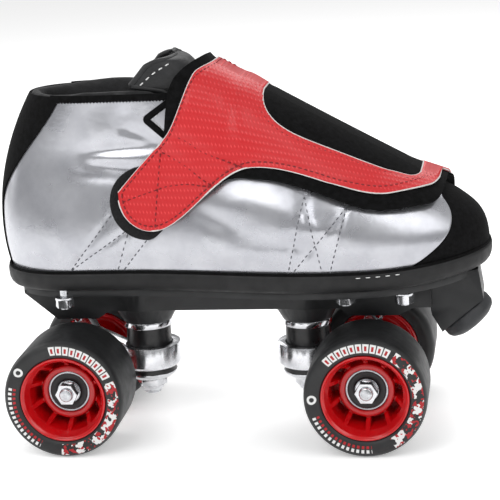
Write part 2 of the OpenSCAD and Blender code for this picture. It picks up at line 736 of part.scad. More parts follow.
module hub() {
    rim_in = hub_r - 2.4;
    boss_out = bearing_r + 2.6;
    web_low = inner_bearing_at + bearing_w;
    web_high = web_low + 3.5;
    rim_top = wheel_out - 1;
    color("#d01f28") difference() {
        union() {
            rotate_extrude($fn = 96) polygon([[rim_in, wheel_in + 1.5], [hub_r, wheel_in + 1.5],
                [hub_r, rim_top], [hub_r - 0.8, rim_top], [rim_in, rim_top - 4]]);
            translate([0, 0, web_low]) cylinder(r = rim_in + 1, h = 3.5);
            translate([0, 0, inner_bearing_at]) cylinder(r = boss_out, h = bearing_spacing + bearing_w + 0.6);
            for (i = [0 : rib_count - 1]) rotate([0, 0, i * 360 / rib_count]) rotate([90, 0, 0])
                linear_extrude(2.2, center = true)
                    polygon([[boss_out - 1, web_high - 1], [rim_in + 1, web_high - 1],
                        [rim_in + 1, rim_top - 6], [boss_out - 1, outer_bearing_at + bearing_w - 1]]);
        }
        translate([0, 0, inner_bearing_at - 5]) cylinder(r = bearing_r, h = bearing_w + 5);
        translate([0, 0, outer_bearing_at]) cylinder(r = bearing_r, h = bearing_w + 5);
        cylinder(r = 8.5, h = 100);
    }
}

// Outer rings and shields of the two bearings
module bearing_pair() {
    color("#1c1c1c") for (at = [inner_bearing_at, outer_bearing_at]) translate([0, 0, at]) difference() {
        cylinder(r = bearing_r, h = bearing_w);
        translate([0, 0, -1]) cylinder(r = core_r + core_gap, h = bearing_w + 2);
        translate([0, 0, bearing_w - 0.5]) difference() {
            cylinder(r = 9.6, h = 2);
            cylinder(r = 7, h = 2);
        }
    }
}

module front_right_tyre() { at_wheel(front_axle_x, -1) tyre(); }
module front_right_hub() { at_wheel(front_axle_x, -1) hub(); }
module front_right_bearings() { at_wheel(front_axle_x, -1) bearing_pair(); }
module front_left_tyre() { at_wheel(front_axle_x, 1) tyre(); }
module front_left_hub() { at_wheel(front_axle_x, 1) hub(); }
module front_left_bearings() { at_wheel(front_axle_x, 1) bearing_pair(); }
module rear_right_tyre() { at_wheel(rear_axle_x, -1) tyre(); }
module rear_right_hub() { at_wheel(rear_axle_x, -1) hub(); }
module rear_right_bearings() { at_wheel(rear_axle_x, -1) bearing_pair(); }
module rear_left_tyre() { at_wheel(rear_axle_x, 1) tyre(); }
module rear_left_hub() { at_wheel(rear_axle_x, 1) hub(); }
module rear_left_bearings() { at_wheel(rear_axle_x, 1) bearing_pair(); }

outsole();
insole_board();
lateral_quarter();
medial_quarter();
toe_cap();
heel_counter();
collar_band();
collar_padding();
tongue();
eyestays();
eyelets();
lace();
loop_patch();
strap_cover();
strap_backing();
hook_pad();
plate();
plate_screws();
plate_nuts();
toe_plug();
toe_plug_bolt();
pivot_cups();
kingpins();
kingpin_nuts();
upper_cup_washers();
lower_cup_washers();
front_upper_cushion();
front_lower_cushion();
rear_upper_cushion();
rear_lower_cushion();
front_hanger();
front_pivot_pin();
front_pivot_locknut();
front_axle();
front_axle_nuts();
front_bearing_cores();
rear_hanger();
rear_pivot_pin();
rear_pivot_locknut();
rear_axle();
rear_axle_nuts();
rear_bearing_cores();
front_right_tyre();
front_right_hub();
front_right_bearings();
front_left_tyre();
front_left_hub();
front_left_bearings();
rear_right_tyre();
rear_right_hub();
rear_right_bearings();
rear_left_tyre();
rear_left_hub();
rear_left_bearings();
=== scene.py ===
import json
import math
import bmesh
import bpy
import numpy as np
from mathutils import Matrix

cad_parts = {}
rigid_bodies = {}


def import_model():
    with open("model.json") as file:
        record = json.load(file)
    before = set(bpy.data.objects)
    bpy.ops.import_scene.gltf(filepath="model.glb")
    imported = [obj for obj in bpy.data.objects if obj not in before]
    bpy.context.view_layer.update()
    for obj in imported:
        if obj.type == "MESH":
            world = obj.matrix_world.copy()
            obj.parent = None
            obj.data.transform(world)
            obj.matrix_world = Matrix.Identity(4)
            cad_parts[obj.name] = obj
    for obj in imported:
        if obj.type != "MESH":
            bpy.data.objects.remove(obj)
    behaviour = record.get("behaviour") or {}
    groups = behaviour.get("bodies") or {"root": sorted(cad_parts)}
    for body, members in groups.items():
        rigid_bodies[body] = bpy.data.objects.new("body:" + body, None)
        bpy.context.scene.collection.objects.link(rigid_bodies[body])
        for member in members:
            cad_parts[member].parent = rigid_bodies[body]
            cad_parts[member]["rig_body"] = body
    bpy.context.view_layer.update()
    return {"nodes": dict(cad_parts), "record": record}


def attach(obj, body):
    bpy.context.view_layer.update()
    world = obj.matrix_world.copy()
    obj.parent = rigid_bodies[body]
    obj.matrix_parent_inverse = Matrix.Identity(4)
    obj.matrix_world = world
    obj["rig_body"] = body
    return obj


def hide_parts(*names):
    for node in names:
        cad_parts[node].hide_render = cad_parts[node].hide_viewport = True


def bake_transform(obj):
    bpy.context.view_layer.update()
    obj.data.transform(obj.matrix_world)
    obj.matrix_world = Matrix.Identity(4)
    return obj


# Quad roller skate, right foot. Shapes are worked out in millimetres in the CAD's frame
# (+X toe, +Y inner side, +Z up) and go into the meshes in metres.
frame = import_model()
slotOf = {row["node"]: row["material_slot"] for row in frame["record"]["subparts"]}
print("frame loaded with", len(frame["nodes"]), "nodes")

# place in metres, angles in degrees, lens and sensor in mm
camera = {"place": (0.1422, -0.8634, 0.3180), "yaw": 9.2067, "pitch": 14.4407, "roll": -3.2946,
          "lens": 123.98, "sensor": 36, "near": 0.05}


def addObject(name, data):
    ob = bpy.data.objects.new(name, data)
    bpy.context.collection.objects.link(ob)
    return ob


def placeCamera(spec):
    # forward from yaw and pitch, right level, then both turned about forward by the roll
    yaw, pitch, roll = (math.radians(spec[k]) for k in ("yaw", "pitch", "roll"))
    forward = np.array([-math.sin(yaw) * math.cos(pitch), math.cos(yaw) * math.cos(pitch), -math.sin(pitch)])
    right = np.array([math.cos(yaw), math.sin(yaw), 0.0])
    up = np.cross(right, forward)
    right, up = math.cos(roll) * right + math.sin(roll) * up, -math.sin(roll) * right + math.cos(roll) * up
    data = bpy.data.cameras.new("camera")
    data.sensor_width, data.lens, data.clip_start = spec["sensor"], spec["lens"], spec["near"]
    turn = np.eye(4)
    turn[:3] = np.stack([right, up, -forward, spec["place"]], 1)
    ob = addObject("camera", data)
    ob.matrix_world = Matrix(turn.tolist())
    bpy.context.scene.camera = ob


placeCamera(camera)

studio = {
    "worldStrength": 0.52, "below": "8f9094", "above": "ffffff", "horizon": (-0.35, 0.55),
    "floorColour": "ffffff", "floorGlow": 0.32, "floorHalf": 4, "aim": (0.0, 0.0, 0.08),
    # place, size and watts of each soft box; all face the skate
    "boxes": [((-0.5, -1.0, 1.1), 1.0, 8.5), ((0.9, -0.7, 0.9), 0.9, 5), ((0.1, 0.9, 1.2), 1.1, 9),
              ((-0.9, 0.3, 0.5), 0.7, 3)],
}


def linear(code):
    # sRGB hex to linear light: ((c + 0.055) / 1.055) ^ 2.4, or c / 12.92 near black
    c = np.array([int(code[i:i + 2], 16) / 255 for i in (0, 2, 4)])
    return (*np.where(c > 0.04045, ((c + 0.055) / 1.055) ** 2.4, c / 12.92).tolist(), 1.0)


def addNode(tree, kind, settings=None, feeds=None):
    # one node, its own settings or input values by name or number, and the sockets or numbers on its inputs
    node = tree.nodes.new("ShaderNode" + kind)
    for key, value in (settings or {}).items():
        if isinstance(key, int) or key in node.inputs:
            node.inputs[key].default_value = value
        else:
            setattr(node, key, value)
    for key, value in (feeds or {}).items():
        if isinstance(value, bpy.types.NodeSocket):
            tree.links.new(value, node.inputs[key])
        else:
            node.inputs[key].default_value = value
    return node


def newMaterial(name, shader):
    material = bpy.data.materials.new(name)
    material.use_nodes = True
    out = material.node_tree.nodes["Principled BSDF"]
    for key, value in shader.items():
        out.inputs[key].default_value = value
    return material, material.node_tree, out


def buildStudio(spec):
    scene = bpy.context.scene
    scene.view_settings.view_transform = "Standard"
    world = bpy.data.worlds.new("studio")
    world.use_nodes = True
    scene.world = world
    tree = world.node_tree
    sky = tree.nodes["Background"].inputs
    sky["Strength"].default_value = spec["worldStrength"]
    # paler overhead than at the horizon, darker below
    way = addNode(tree, "SeparateXYZ", feeds={0: addNode(tree, "TexCoord").outputs["Generated"]})
    low, high = spec["horizon"]
    ramp = addNode(tree, "MapRange", {"interpolation_type": "SMOOTHSTEP", 1: low, 2: high}, {0: way.outputs["Z"]})
    shade = addNode(tree, "Mix", {"data_type": "RGBA", 6: linear(spec["below"]), 7: linear(spec["above"])},
                    {0: ramp.outputs[0]})
    tree.links.new(shade.outputs[2], sky["Color"])
    for i, (place, size, watts) in enumerate(spec["boxes"]):
        data = bpy.data.lights.new(f"softBox{i}", "AREA")
        data.size, data.energy = size, watts
        ob = addObject(data.name, data)
        aim = np.array(spec["aim"]) - np.array(place)
        ob.location = place
        ob.rotation_euler = (
            math.acos(-aim[2] / np.linalg.norm(aim)), 0, math.atan2(aim[1], aim[0]) - math.pi / 2)
    mesh = bpy.data.meshes.new("floor")
    half = spec["floorHalf"]
    mesh.from_pydata([(-half, -half, 0), (half, -half, 0), (half, half, 0), (-half, half, 0)], [], [(0, 1, 2, 3)])
    # a little glow keeps the sweep nearly white under the soft lights
    white = linear(spec["floorColour"])
    mesh.materials.append(newMaterial("paperSweep", {"Base Color": white, "Roughness": 0.9, "Emission Color": white,
                                                     "Emission Strength": spec["floorGlow"]})[0])
    addObject("floor", mesh)


buildStudio(studio)
print("camera and studio ready")


def finish(name, shader, colours=None, bumps=(), roughness=None):
    # A material from its shader values, two colours mixed by patches of a size in mm, layers of relief
    # (kind, grain in mm, height in mm) on the object's own coordinates, and a roughness range.
    material, tree, out = newMaterial(name, shader)
    place = {"Vector": addNode(tree, "TexCoord").outputs["Object"]}
    if colours:
        first, second, patch = colours
        cloud = addNode(tree, "TexNoise", {"Scale": 1000 / patch, "Detail": 5.0, "Roughness": 0.62}, place)
        share = addNode(tree, "MapRange", {1: 0.35, 2: 0.65}, {0: cloud.outputs[0]})
        mix = addNode(tree, "Mix", {"data_type": "RGBA", 6: linear(first), 7: linear(second)}, {0: share.outputs[0]})
        tree.links.new(mix.outputs[2], out.inputs["Base Color"])
    if roughness:
        low, high, patch = roughness
        cloud = addNode(tree, "TexNoise", {"Scale": 1000 / patch, "Detail": 3.0}, place)
        span = addNode(tree, "MapRange", {1: 0.3, 2: 0.7, 3: low, 4: high}, {0: cloud.outputs[0]})
        tree.links.new(span.outputs[0], out.inputs["Roughness"])
    normal = None
    for kind, grain, height in bumps:
        scale = 1000 / grain
        if kind == "pebble":
            relief = addNode(tree, "TexVoronoi", {"feature": "SMOOTH_F1", "Scale": scale}, place)
        elif kind == "brushed":
            along = addNode(tree, "Mapping", {"Scale": (scale, 30, scale)}, place)
            relief = addNode(tree, "TexNoise", {"Scale": 1.0, "Detail": 2.0}, {"Vector": along.outputs[0]})
        else:
            relief = addNode(tree, "TexNoise", {"Scale": scale, "Detail": 4.0}, place)
        bump = addNode(tree, "Bump", {"Strength": 1.0, "Distance": height / 1000}, {"Height": relief.outputs[0]})
        if normal:
            tree.links.new(normal, bump.inputs["Normal"])
        normal = bump.outputs[0]
    if normal:
        tree.links.new(normal, out.inputs["Normal"])
    return material


# aluminium-film vinyl: bright broad reflections, a fine orange-peel and faint dents
silverVinyl = finish("silverVinyl", {"Metallic": 0.85, "Roughness": 0.3, "Coat Weight": 0.15, "Coat Roughness": 0.2},
                     ("bcbdc2", "aeafb5", 16.0), [("noise", 1.2, 0.012), ("noise", 30.0, 0.6)], (0.24, 0.32, 20.0))
# split suede: very rough nap that scatters light at its edges
blackSuede = finish("blackSuede", {"Roughness": 0.95, "Specular IOR Level": 0.1, "Sheen Weight": 0.012,
                                   "Sheen Roughness": 0.5},
                    ("080808", "121213", 2.5), [("noise", 0.7, 0.12), ("noise", 6.0, 0.15)])
# drum-dyed leather with a fine pebble grain and a satin top coat
blackLeather = finish("blackLeather", {"Roughness": 0.5, "Specular IOR Level": 0.45},
                      ("161617", "202123", 12.0), [("pebble", 1.1, 0.08), ("noise", 9.0, 0.2)], (0.42, 0.58, 5.0))
# brushed tricot lining over foam: dull with a soft nap
liningCloth = finish("liningCloth", {"Roughness": 0.9, "Sheen Weight": 0.08, "Sheen Roughness": 0.4},
                     ("121213", "1d1d1f", 3.0), [("pebble", 0.9, 0.15), ("noise", 12.0, 0.3)])
# knitted loop pile, brushed: a matt and curly surface
loopPile = finish("loopPile", {"Roughness": 1.0, "Sheen Weight": 0.06}, ("0a0a0b", "171719", 1.0),
                  [("noise", 0.5, 0.3), ("pebble", 1.3, 0.2)])
# compression-moulded rubber, dull with a faint mould texture; the plug's compound is paler
soleRubber = finish("soleRubber", {"Roughness": 0.6, "Specular IOR Level": 0.4}, ("0d0d0e", "151516", 20.0),
                    [("noise", 0.8, 0.04)], (0.5, 0.68, 6.0))
plugRubber = finish("plugRubber", {"Roughness": 0.55, "Specular IOR Level": 0.4}, ("2c2d2f", "37383a", 8.0),
                    [("noise", 0.9, 0.05)], (0.45, 0.65, 4.0))
# glass-filled nylon with a spark-eroded mould grain; the pivot cups' is undyed and softer
mouldedNylon = finish("mouldedNylon", {"Roughness": 0.45, "Specular IOR Level": 0.45}, ("111213", "18191b", 18.0),
                      [("noise", 0.7, 0.03)], (0.38, 0.52, 5.0))
cupNylon = finish("cupNylon", {"Roughness": 0.5}, ("7f8083", "8c8d90", 4.0), [("noise", 0.8, 0.02)])
# cast polyurethane bushing: smooth, slightly glossy
cushionUrethane = finish("cushionUrethane", {"Roughness": 0.32, "Specular IOR Level": 0.5},
                         ("121213", "1a1a1b", 5.0), [("noise", 3.0, 0.03)], (0.26, 0.4, 4.0))
# bright nickel plate over turned steel, near a mirror; zinc plate shows its brushing
nickelPlate = finish("nickelPlate", {"Metallic": 1.0, "Roughness": 0.14}, ("dcdde0", "c9cacd", 3.0),
                     [("noise", 0.8, 0.01)], (0.1, 0.2, 2.0))
zincSteel = finish("zincSteel", {"Metallic": 1.0, "Roughness": 0.25}, ("c9cbce", "b3b5b9", 2.0),
                   [("brushed", 0.4, 0.01)], (0.2, 0.34, 2.0))
# die-cast aluminium, tumbled and polished: bright with a soft ripple
polishedAluminium = finish("polishedAluminium", {"Metallic": 1.0, "Roughness": 0.22}, ("e6e7ea", "d3d4d8", 6.0),
                           [("noise", 1.6, 0.015)], (0.16, 0.3, 5.0))
# ground bearing steel and the moulded rubber of its shields
bearingSteel = finish("bearingSteel", {"Metallic": 1.0, "Roughness": 0.2}, ("b6b8bb", "a4a6aa", 1.5),
                      [("noise", 0.6, 0.005)], (0.15, 0.28, 1.5))
shieldRubber = finish("shieldRubber", {"Roughness": 0.5}, ("1c1d1e", "27282a", 2.0), [("noise", 0.8, 0.02)],
                      (0.42, 0.6, 2.0))
# gloss-moulded nylon, dyed red, slightly translucent at its thin ribs
redNylon = finish("redNylon", {"Roughness": 0.2, "Coat Weight": 0.25, "Coat Roughness": 0.06,
                               "Subsurface Weight": 0.08, "Subsurface Radius": (0.004, 0.001, 0.001)},
                  ("b5040c", "c4080f", 9.0), [("noise", 5.0, 0.01)], (0.18, 0.26, 6.0))
# pressed fibre board under a woven cover: dry and fibrous
insoleBoardCloth = finish("insoleBoardCloth", {"Roughness": 0.92}, ("a89474", "b7a483", 4.0),
                          [("pebble", 1.0, 0.08), ("noise", 0.6, 0.05)])
# flat braided cotton, dull with a plaited relief
laceCotton = finish("laceCotton", {"Roughness": 0.95, "Sheen Weight": 0.3}, ("0f0f10", "1b1b1d", 1.5),
                    [("pebble", 0.8, 0.2)])
# bonded nylon thread: twisted, a little uneven in colour
greyThread, whiteThread, redThread = (
    finish(name, {"Roughness": 0.6}, (*colours, 1.0), [("noise", 0.5, 0.08)]) for name, colours in (
        ("greyThread", ("4a4b50", "66676c")), ("whiteThread", ("dcdcdc", "f0f0ef")),
        ("redThread", ("6d0810", "860d16"))))
# the vinyl's pale woven base, showing at its cut edge
rawEdge = finish("rawEdge", {"Roughness": 0.85}, ("d9d6d4", "c6c2c0", 1.2), [("noise", 0.6, 0.05)])
print("finishes ready")


def gridQuads(rows, cols, first=0, wrap=False, loop=False):
    # quads between neighbouring rows and columns of a grid of vertices; wrap joins the last column to the
    # first, and loop the last row to the first
    at = first + np.arange(rows * cols).reshape(rows, cols)
    if loop:
        at = np.vstack([at, at[:1]])
    if wrap:
        at = np.hstack([at, at[:, :1]])
    return np.stack([at[:-1, :-1], at[1:, :-1], at[1:, 1:], at[:-1, 1:]], -1).reshape(-1, 4)


def makePiece(name, shape, material, node, body="skate", replaces=True, recalculate=True):
    # One mesh piece from points in mm, faces and perhaps a uv pair in mm for each point. It takes the material it is
    # given, takes its CAD node's place or stays beside it, and rides on a body if it is given one.
    points, faces, *uv = shape
    mesh = bpy.data.meshes.new(name)
    mesh.from_pydata((np.asarray(points, float).reshape(-1, 3) / 1000).tolist(), [], [list(f) for f in faces])
    if uv and uv[0] is not None:
        corners = np.zeros(len(mesh.loops), int)
        mesh.loops.foreach_get("vertex_index", corners)
        layer = mesh.uv_layers.new(name="surface")
        layer.data.foreach_set("uv", uv[0].reshape(-1, 2)[corners].astype(np.float32).ravel())
    if recalculate:
        work = bmesh.new()
        work.from_mesh(mesh)
        bmesh.ops.recalc_face_normals(work, faces=work.faces)
        work.to_mesh(mesh)
        work.free()
    mesh.polygons.foreach_set("use_smooth", np.ones(len(mesh.polygons), bool))
    mesh.materials.append(material)
    ob = addObject(name, mesh)
    if body:
        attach(ob, body)
    if replaces:
        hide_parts(node)
    return ob


beside = {"replaces": False, "recalculate": False}  # for stitches and bindings, whose faces already point outwards


def unit(v):
    # each vector over its own length
    return v / (np.linalg.norm(v, axis=-1, keepdims=True) + 1e-9)


def sheetShell(middle, normal, thick, uv=None):
    # A closed sheet: the grid moved out and in by half its thickness along the normal, and a half-round rim,
    # whose points are border + thick / 2 * (cos t * outward + sin t * normal) for t = 60, 20, -20, -60 degrees.
    rows, cols = middle.shape[:2]
    r = np.concatenate([np.zeros(cols - 1, int), np.arange(rows - 1), np.full(cols - 1, rows - 1),
                        np.arange(rows - 1, 0, -1)])
    c = np.concatenate([np.arange(cols - 1), np.full(rows - 1, cols - 1), np.arange(cols - 1, 0, -1),
                        np.zeros(rows - 1, int)])
    edge, n = middle[r, c], normal[r, c]
    out = edge - middle[np.clip(r, 1, rows - 2), np.clip(c, 1, cols - 2)]
    out = unit(out - n * (out * n).sum(-1, keepdims=True))
    half = np.broadcast_to(np.asarray(thick, float), middle.shape[:2])[..., None] / 2
    rims = [edge + half[r, c] * (math.cos(t) * out + math.sin(t) * n) for t in np.radians([60, 20, -20, -60])]
    points = np.concatenate([(middle + normal * half).reshape(-1, 3), (middle - normal * half).reshape(-1, 3), *rims])
    count, ringSize = rows * cols, len(r)
    borders = [r * cols + c] + [2 * count + k * ringSize + np.arange(ringSize) for k in range(4)]
    borders.append(count + r * cols + c)
    faces = [gridQuads(rows, cols), gridQuads(rows, cols, count)[:, ::-1]]
    for a, b in zip(borders[:-1], borders[1:]):
        faces.append(np.stack([a, b, np.roll(b, -1), np.roll(a, -1)], -1))
    if uv is not None:
        uv = np.concatenate([uv.reshape(-1, 2)] * 2 + [uv[r, c]] * 4)
    return points, np.concatenate(faces), uv


def tube(path, radius, sides=8, closed=False, up=(0.0, 0.0, 1.0), flat=1.0):
    # Round or flattened bar: at each path point a ring radius * (cos a * side + flat * sin a * over),
    # where side is square to the path and to up. Open ends are closed by a cap point.
    path = np.asarray(path, float)
    along = unit(np.roll(path, -1, 0) - np.roll(path, 1, 0) if closed else np.gradient(path, axis=0))
    side = unit(np.cross(along, np.broadcast_to(np.asarray(up, float), path.shape)))
    over = np.cross(side, along)
    a = np.arange(sides)[:, None] * 2 * math.pi / sides
    radius = np.broadcast_to(np.asarray(radius, float), len(path))[:, None, None]
    rings = path[:, None] + radius * (np.cos(a) * side[:, None] + flat * np.sin(a) * over[:, None])
    points, faces = rings.reshape(-1, 3), gridQuads(len(path), sides, wrap=True, loop=closed).tolist()
    if closed:
        return points, faces
    n = len(points)
    for k in range(sides):
        j = (k + 1) % sides
        faces += [[n, j, k], [n + 1, n - sides + k, n - sides + j]]
    reach = along * radius[:, 0] / 2
    return np.concatenate([points, path[:1] - reach[:1], path[-1:] + reach[-1:]]), faces


def joined(shapes):
    # several shapes as one, without their uv
    points, faces, count = [], [], 0
    for p, f, *_ in shapes:
        points.append(np.asarray(p).reshape(-1, 3))
        faces += [[i + count for i in face] for face in f]
        count += len(points[-1])
    return np.concatenate(points), faces


def lengths(path):
    # distance along a polyline, at each of its points
    return np.concatenate([[0], np.cumsum(np.linalg.norm(np.diff(path, axis=0), axis=1))])


def valuesAt(where, s, values):
    # each column of values, given at the distances s, read at the distances in where
    return np.stack([np.interp(where, s, column) for column in values.T], -1)


def evenly(path, step):
    # points every step mm along a polyline
    path = np.asarray(path, float)
    s = lengths(path)
    return valuesAt(np.linspace(0, s[-1], max(2, int(round(s[-1] / step)) + 1)), s, path)


def stitchRow(path, normal, spec):
    # Each stitch is a small capsule laid along the path: centre + length * u * along
    # + width * (1 - u^4)^(1/2) * (cos a * side + sin a * normal), for u from -1 to 1, its ends sunk into the sheet.
    s = lengths(path)
    count = max(1, int(s[-1] / (spec["length"] + spec["gap"])))
    at = (np.arange(count) + 0.5) * s[-1] / count
    centre, n = valuesAt(at, s, path), valuesAt(at, s, normal)
    along = unit(valuesAt(at + 0.3, s, path) - valuesAt(at - 0.3, s, path))
    n = unit(n - along * (n * along).sum(1, keepdims=True))
    side = np.cross(along, n)
    u = np.array([-1, -0.86, -0.45, 0.45, 0.86, 1.0])[:, None]
    a = np.arange(6) * math.pi / 3
    bulge = np.sqrt(np.maximum(1 - u ** 4, 0.02)) * spec["width"] / 2
    sink = 0.35 * spec["width"] * u ** 4
    reach = (spec["length"] / 2 * u + 0 * a, bulge * np.cos(a), bulge * np.sin(a) - sink)
    points = centre[:, None, None] + sum(r[..., None] * v[:, None, None] for r, v in zip(reach, (along, side, n)))
    quads = gridQuads(6, 6, wrap=True)[None] + (np.arange(count) * 36)[:, None, None]
    return points.reshape(-1, 3), quads.reshape(-1, 4).tolist()


def softened(node, width, material, segments=2):
    # a merged copy of a CAD node with its flat faces joined and its edges rounded by width mm
    source = frame["nodes"][node]
    work = bmesh.new()
    work.from_mesh(source.data)
    bmesh.ops.remove_doubles(work, verts=work.verts, dist=1e-6)
    bmesh.ops.dissolve_limit(work, angle_limit=math.radians(1.0), verts=work.verts, edges=work.edges)
    mesh = bpy.data.meshes.new(node + "Soft")
    work.to_mesh(mesh)
    work.free()
    mesh.polygons.foreach_set("use_smooth", np.ones(len(mesh.polygons), bool))
    mesh.materials.append(material)
    ob = addObject(node + "Soft", mesh)
    bevel = ob.modifiers.new("edges", "BEVEL")
    bevel.width, bevel.segments, bevel.limit_method = width / 1000, segments, "ANGLE"
    bevel.angle_limit, bevel.harden_normals = math.radians(28), True
    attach(ob, source["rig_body"])
    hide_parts(node)


# The boot's surface, as in the CAD. Powers are those of its rounded outline, heights are over the floor.
boot = {
    "heelX": -127.4, "heelFull": 114, "heelDraw": 18, "heelSpan": 63, "heelHalf": 32, "ballHalf": 44,
    "toeX": 127.2, "toeTurn": 114.0, "toeSoft": 5.0, "toeSlope": 1.75, "dip": 8.5,
    "frontPower": 2.15, "heelPower": 2.2, "heelRound": 38.0, "soleTop": 90.0, "collar": 180.5,
    "throatHalf": 12.0, "toeSpring": 6.0, "springStart": 60.0, "halfLength": 128.5, "lean": 4,
}


def smooth(t):
    # 3 t^2 - 2 t^3 between 0 and 1
    t = np.clip(t, 0, 1)
    return t * t * (3 - 2 * t)


def signedPower(v, p):
    # |v|^p with the sign of v
    return np.sign(v) * np.abs(v) ** p


def gauss(distance, width):
    # bell: e^-(distance / width)^2
    return np.exp(-(distance / width) ** 2)


def heelX(z):
    # back edge: a parabola about its fullest height
    return boot["heelX"] + boot["heelDraw"] * ((z - boot["heelFull"]) / boot["heelSpan"]) ** 2


def toeX(z):
    # front edge: upright low down, then a straight slope, joined by a soft log curve; drawn in at the instep
    dip = boot["dip"] * smooth((z - 121) / 12) * (1 - smooth((z - 187) / 14))
    turn = np.logaddexp(0, (z - boot["toeTurn"]) / boot["toeSoft"])
    return boot["toeX"] - boot["toeSlope"] * boot["toeSoft"] * turn - dip


def ridgeZ(x):
    # height of the top line over x: toeX read the other way
    heights = np.linspace(215, 60, 3101)
    return np.interp(x, toeX(heights), heights)


def middleX(z):
    # widest place: 0.70 of the way forward low down, 0.46 at the ankle
    return heelX(z) + (toeX(z) - heelX(z)) * (0.70 - 0.24 * smooth((z - 100) / 60))


def middleY(x):
    # the toes lean to the inner side
    return boot["lean"] * smooth((x - 20) / 110)


def fullHalf(x, z):
    # half width before rounding: heel to ball, narrower higher up and at the sole
    base = boot["heelHalf"] + (boot["ballHalf"] - boot["heelHalf"]) * smooth((x + 60) / 105)
    return base * (1 - 0.2 * smooth((z - 105) / 50)) * (0.95 + 0.05 * smooth((z - boot["soleTop"]) / 14))


def halfSquare(x, z):
    # square of the half width: fullHalf^2 times a superellipse fall-off at the toe and at the heel
    xm, xf, xh = middleX(z), toeX(z), heelX(z) + boot["heelRound"]
    front = np.where(x > xm, 1 - np.clip((x - xm) / (xf - xm), 0, None) ** boot["frontPower"], 1.0)
    back = np.where(x < xh, 1 - np.clip((xh - x) / boot["heelRound"], 0, None) ** boot["heelPower"], 1.0)
    return (fullHalf(x, z) ** 2 * signedPower(front, 2 / boot["frontPower"])
            * signedPower(back, 2 / boot["heelPower"]))


def skinPoint(x, z, side, lift):
    # surface point and its normal: the gradient of y^2 - halfSquare(x, z), by differences over 0.4 mm
    x, z, side, lift = np.broadcast_arrays(*(np.asarray(v, float) for v in (x, z, side, lift)))
    h = 0.4
    y = side * np.sqrt(np.maximum(0, halfSquare(x, z)))
    n = unit(np.stack([(halfSquare(x - h, z) - halfSquare(x + h, z)) / (2 * h), 2 * y,
                       (halfSquare(x, z - h) - halfSquare(x, z + h)) / (2 * h)], -1))
    return np.stack([x, middleY(x) + y, z], -1) + lift[..., None] * n, n


def aroundX(z, angle):
    # outline of height z: middle + reach * cos^(2 / power) towards the toe, middle + reach * cos towards the heel
    c, xm = np.cos(angle), middleX(z)
    return np.where(c > 0, xm + (toeX(z) - xm) * np.abs(c) ** (2 / boot["frontPower"]), xm + (xm - heelX(z)) * c)


def aroundPoint(z, angle, lift):
    # the same surface by height and angle in radians: 0 toe, pi heel, up to pi the outer side
    z, angle, lift = np.broadcast_arrays(*(np.asarray(v, float) for v in (z, angle, lift)))
    return skinPoint(aroundX(z, angle), z, np.where(np.sin(angle) > 0, -1.0, 1.0), lift)


def angleAt(x, z):
    # angle at which the outline of height z reaches x
    xm = middleX(z)
    r = (x - xm) / (toeX(z) - xm)
    back = np.arccos(np.clip((x - xm) / (xm - heelX(z)), -1, 1))
    return np.where(r >= 0, np.arccos(np.clip(np.abs(r) ** (boot["frontPower"] / 2), 0, 1)), back)


def soleTop(x):
    # level, then a parabola for the toe spring
    rise = np.clip((x - boot["springStart"]) / (boot["halfLength"] - boot["springStart"]), 0, None)
    return boot["soleTop"] + boot["toeSpring"] * rise ** 2


def throatAngle(z):
    # angle at the throat's half width: asin((throat / full width)^(power / 2))
    return np.arcsin(np.clip(boot["throatHalf"] / fullHalf(middleX(z), z), 0, 1) ** (boot["frontPower"] / 2))


def seamAngle(z):
    # where the quarters meet the toe cap: x is a parabola of z, fullest 24 mm over the sole
    return np.maximum(angleAt(108 - 0.055 * (np.minimum(z, 122) - 114) ** 2, z), throatAngle(z))


def wallHeight(angle, rows, top):
    # a column of heights from the upper's lower edge at this angle to the top
    low = soleTop(aroundX(boot["soleTop"] + 4, angle)) + 0.2
    return low + np.linspace(0, 1, rows)[:, None] * (top - low)


def fromLine(x, z, a, b):
    # distance in the side view to the line from a to b, and how far along it from 0 to 1
    a, b = np.array(a, float), np.array(b, float)
    run = b - a
    t = np.clip(((x - a[0]) * run[0] + (z - a[1]) * run[1]) / (run @ run), 0, 1)
    return np.hypot(x - a[0] - t * run[0], z - a[1] - t * run[1]), t


print("shape functions ready")

quarter = {
    "rows": 110, "cols": 190, "thick": 1.5, "tuck": 1.5, "innerShare": 0.5,
    # ends in the side view, width and depth of each fold at the ankle
    "folds": [((-54, 174), (-55, 165), 3.4, 0.9), ((-55, 164), (-38, 157), 3.0, 1.2),
              ((-76, 152), (-36, 155), 3.2, 1.3), ((-74, 146), (-52, 143), 2.8, 1.0),
              ((-80, 141), (-54, 139), 3.4, 0.6), ((-18, 122), (4, 112), 5.0, 0.9),
              ((2, 108), (34, 104), 6.0, 1.0), ((30, 106), (44, 101), 5.0, 1.1)],
    "swells": [((-70, 149), (-42, 149), 3.2, 0.8), ((-72, 160), (-60, 164), 7.0, 0.7),
               ((38, 114), (54, 112), 5.0, 0.9), ((-10, 128), (16, 124), 7.0, 0.9)],
    # seams sewn through to the lining, ends in the side view
    "seams": [((-61, 123), (-87, 91)), ((-56, 112), (-87, 91)), ((-55, 111), (-62, 91)), ((-43, 110), (-59, 91)),
              ((37, 130), (27, 89)), ((37, 130), (45, 89)), ((58, 124), (28, 89)), ((58, 124), (48, 89))],
    "seamWidth": 1.5, "seamDepth": 0.45,
    "stitch": {"length": 2.0, "gap": 1.1, "width": 0.62}, "stitchLift": 0.12,
}


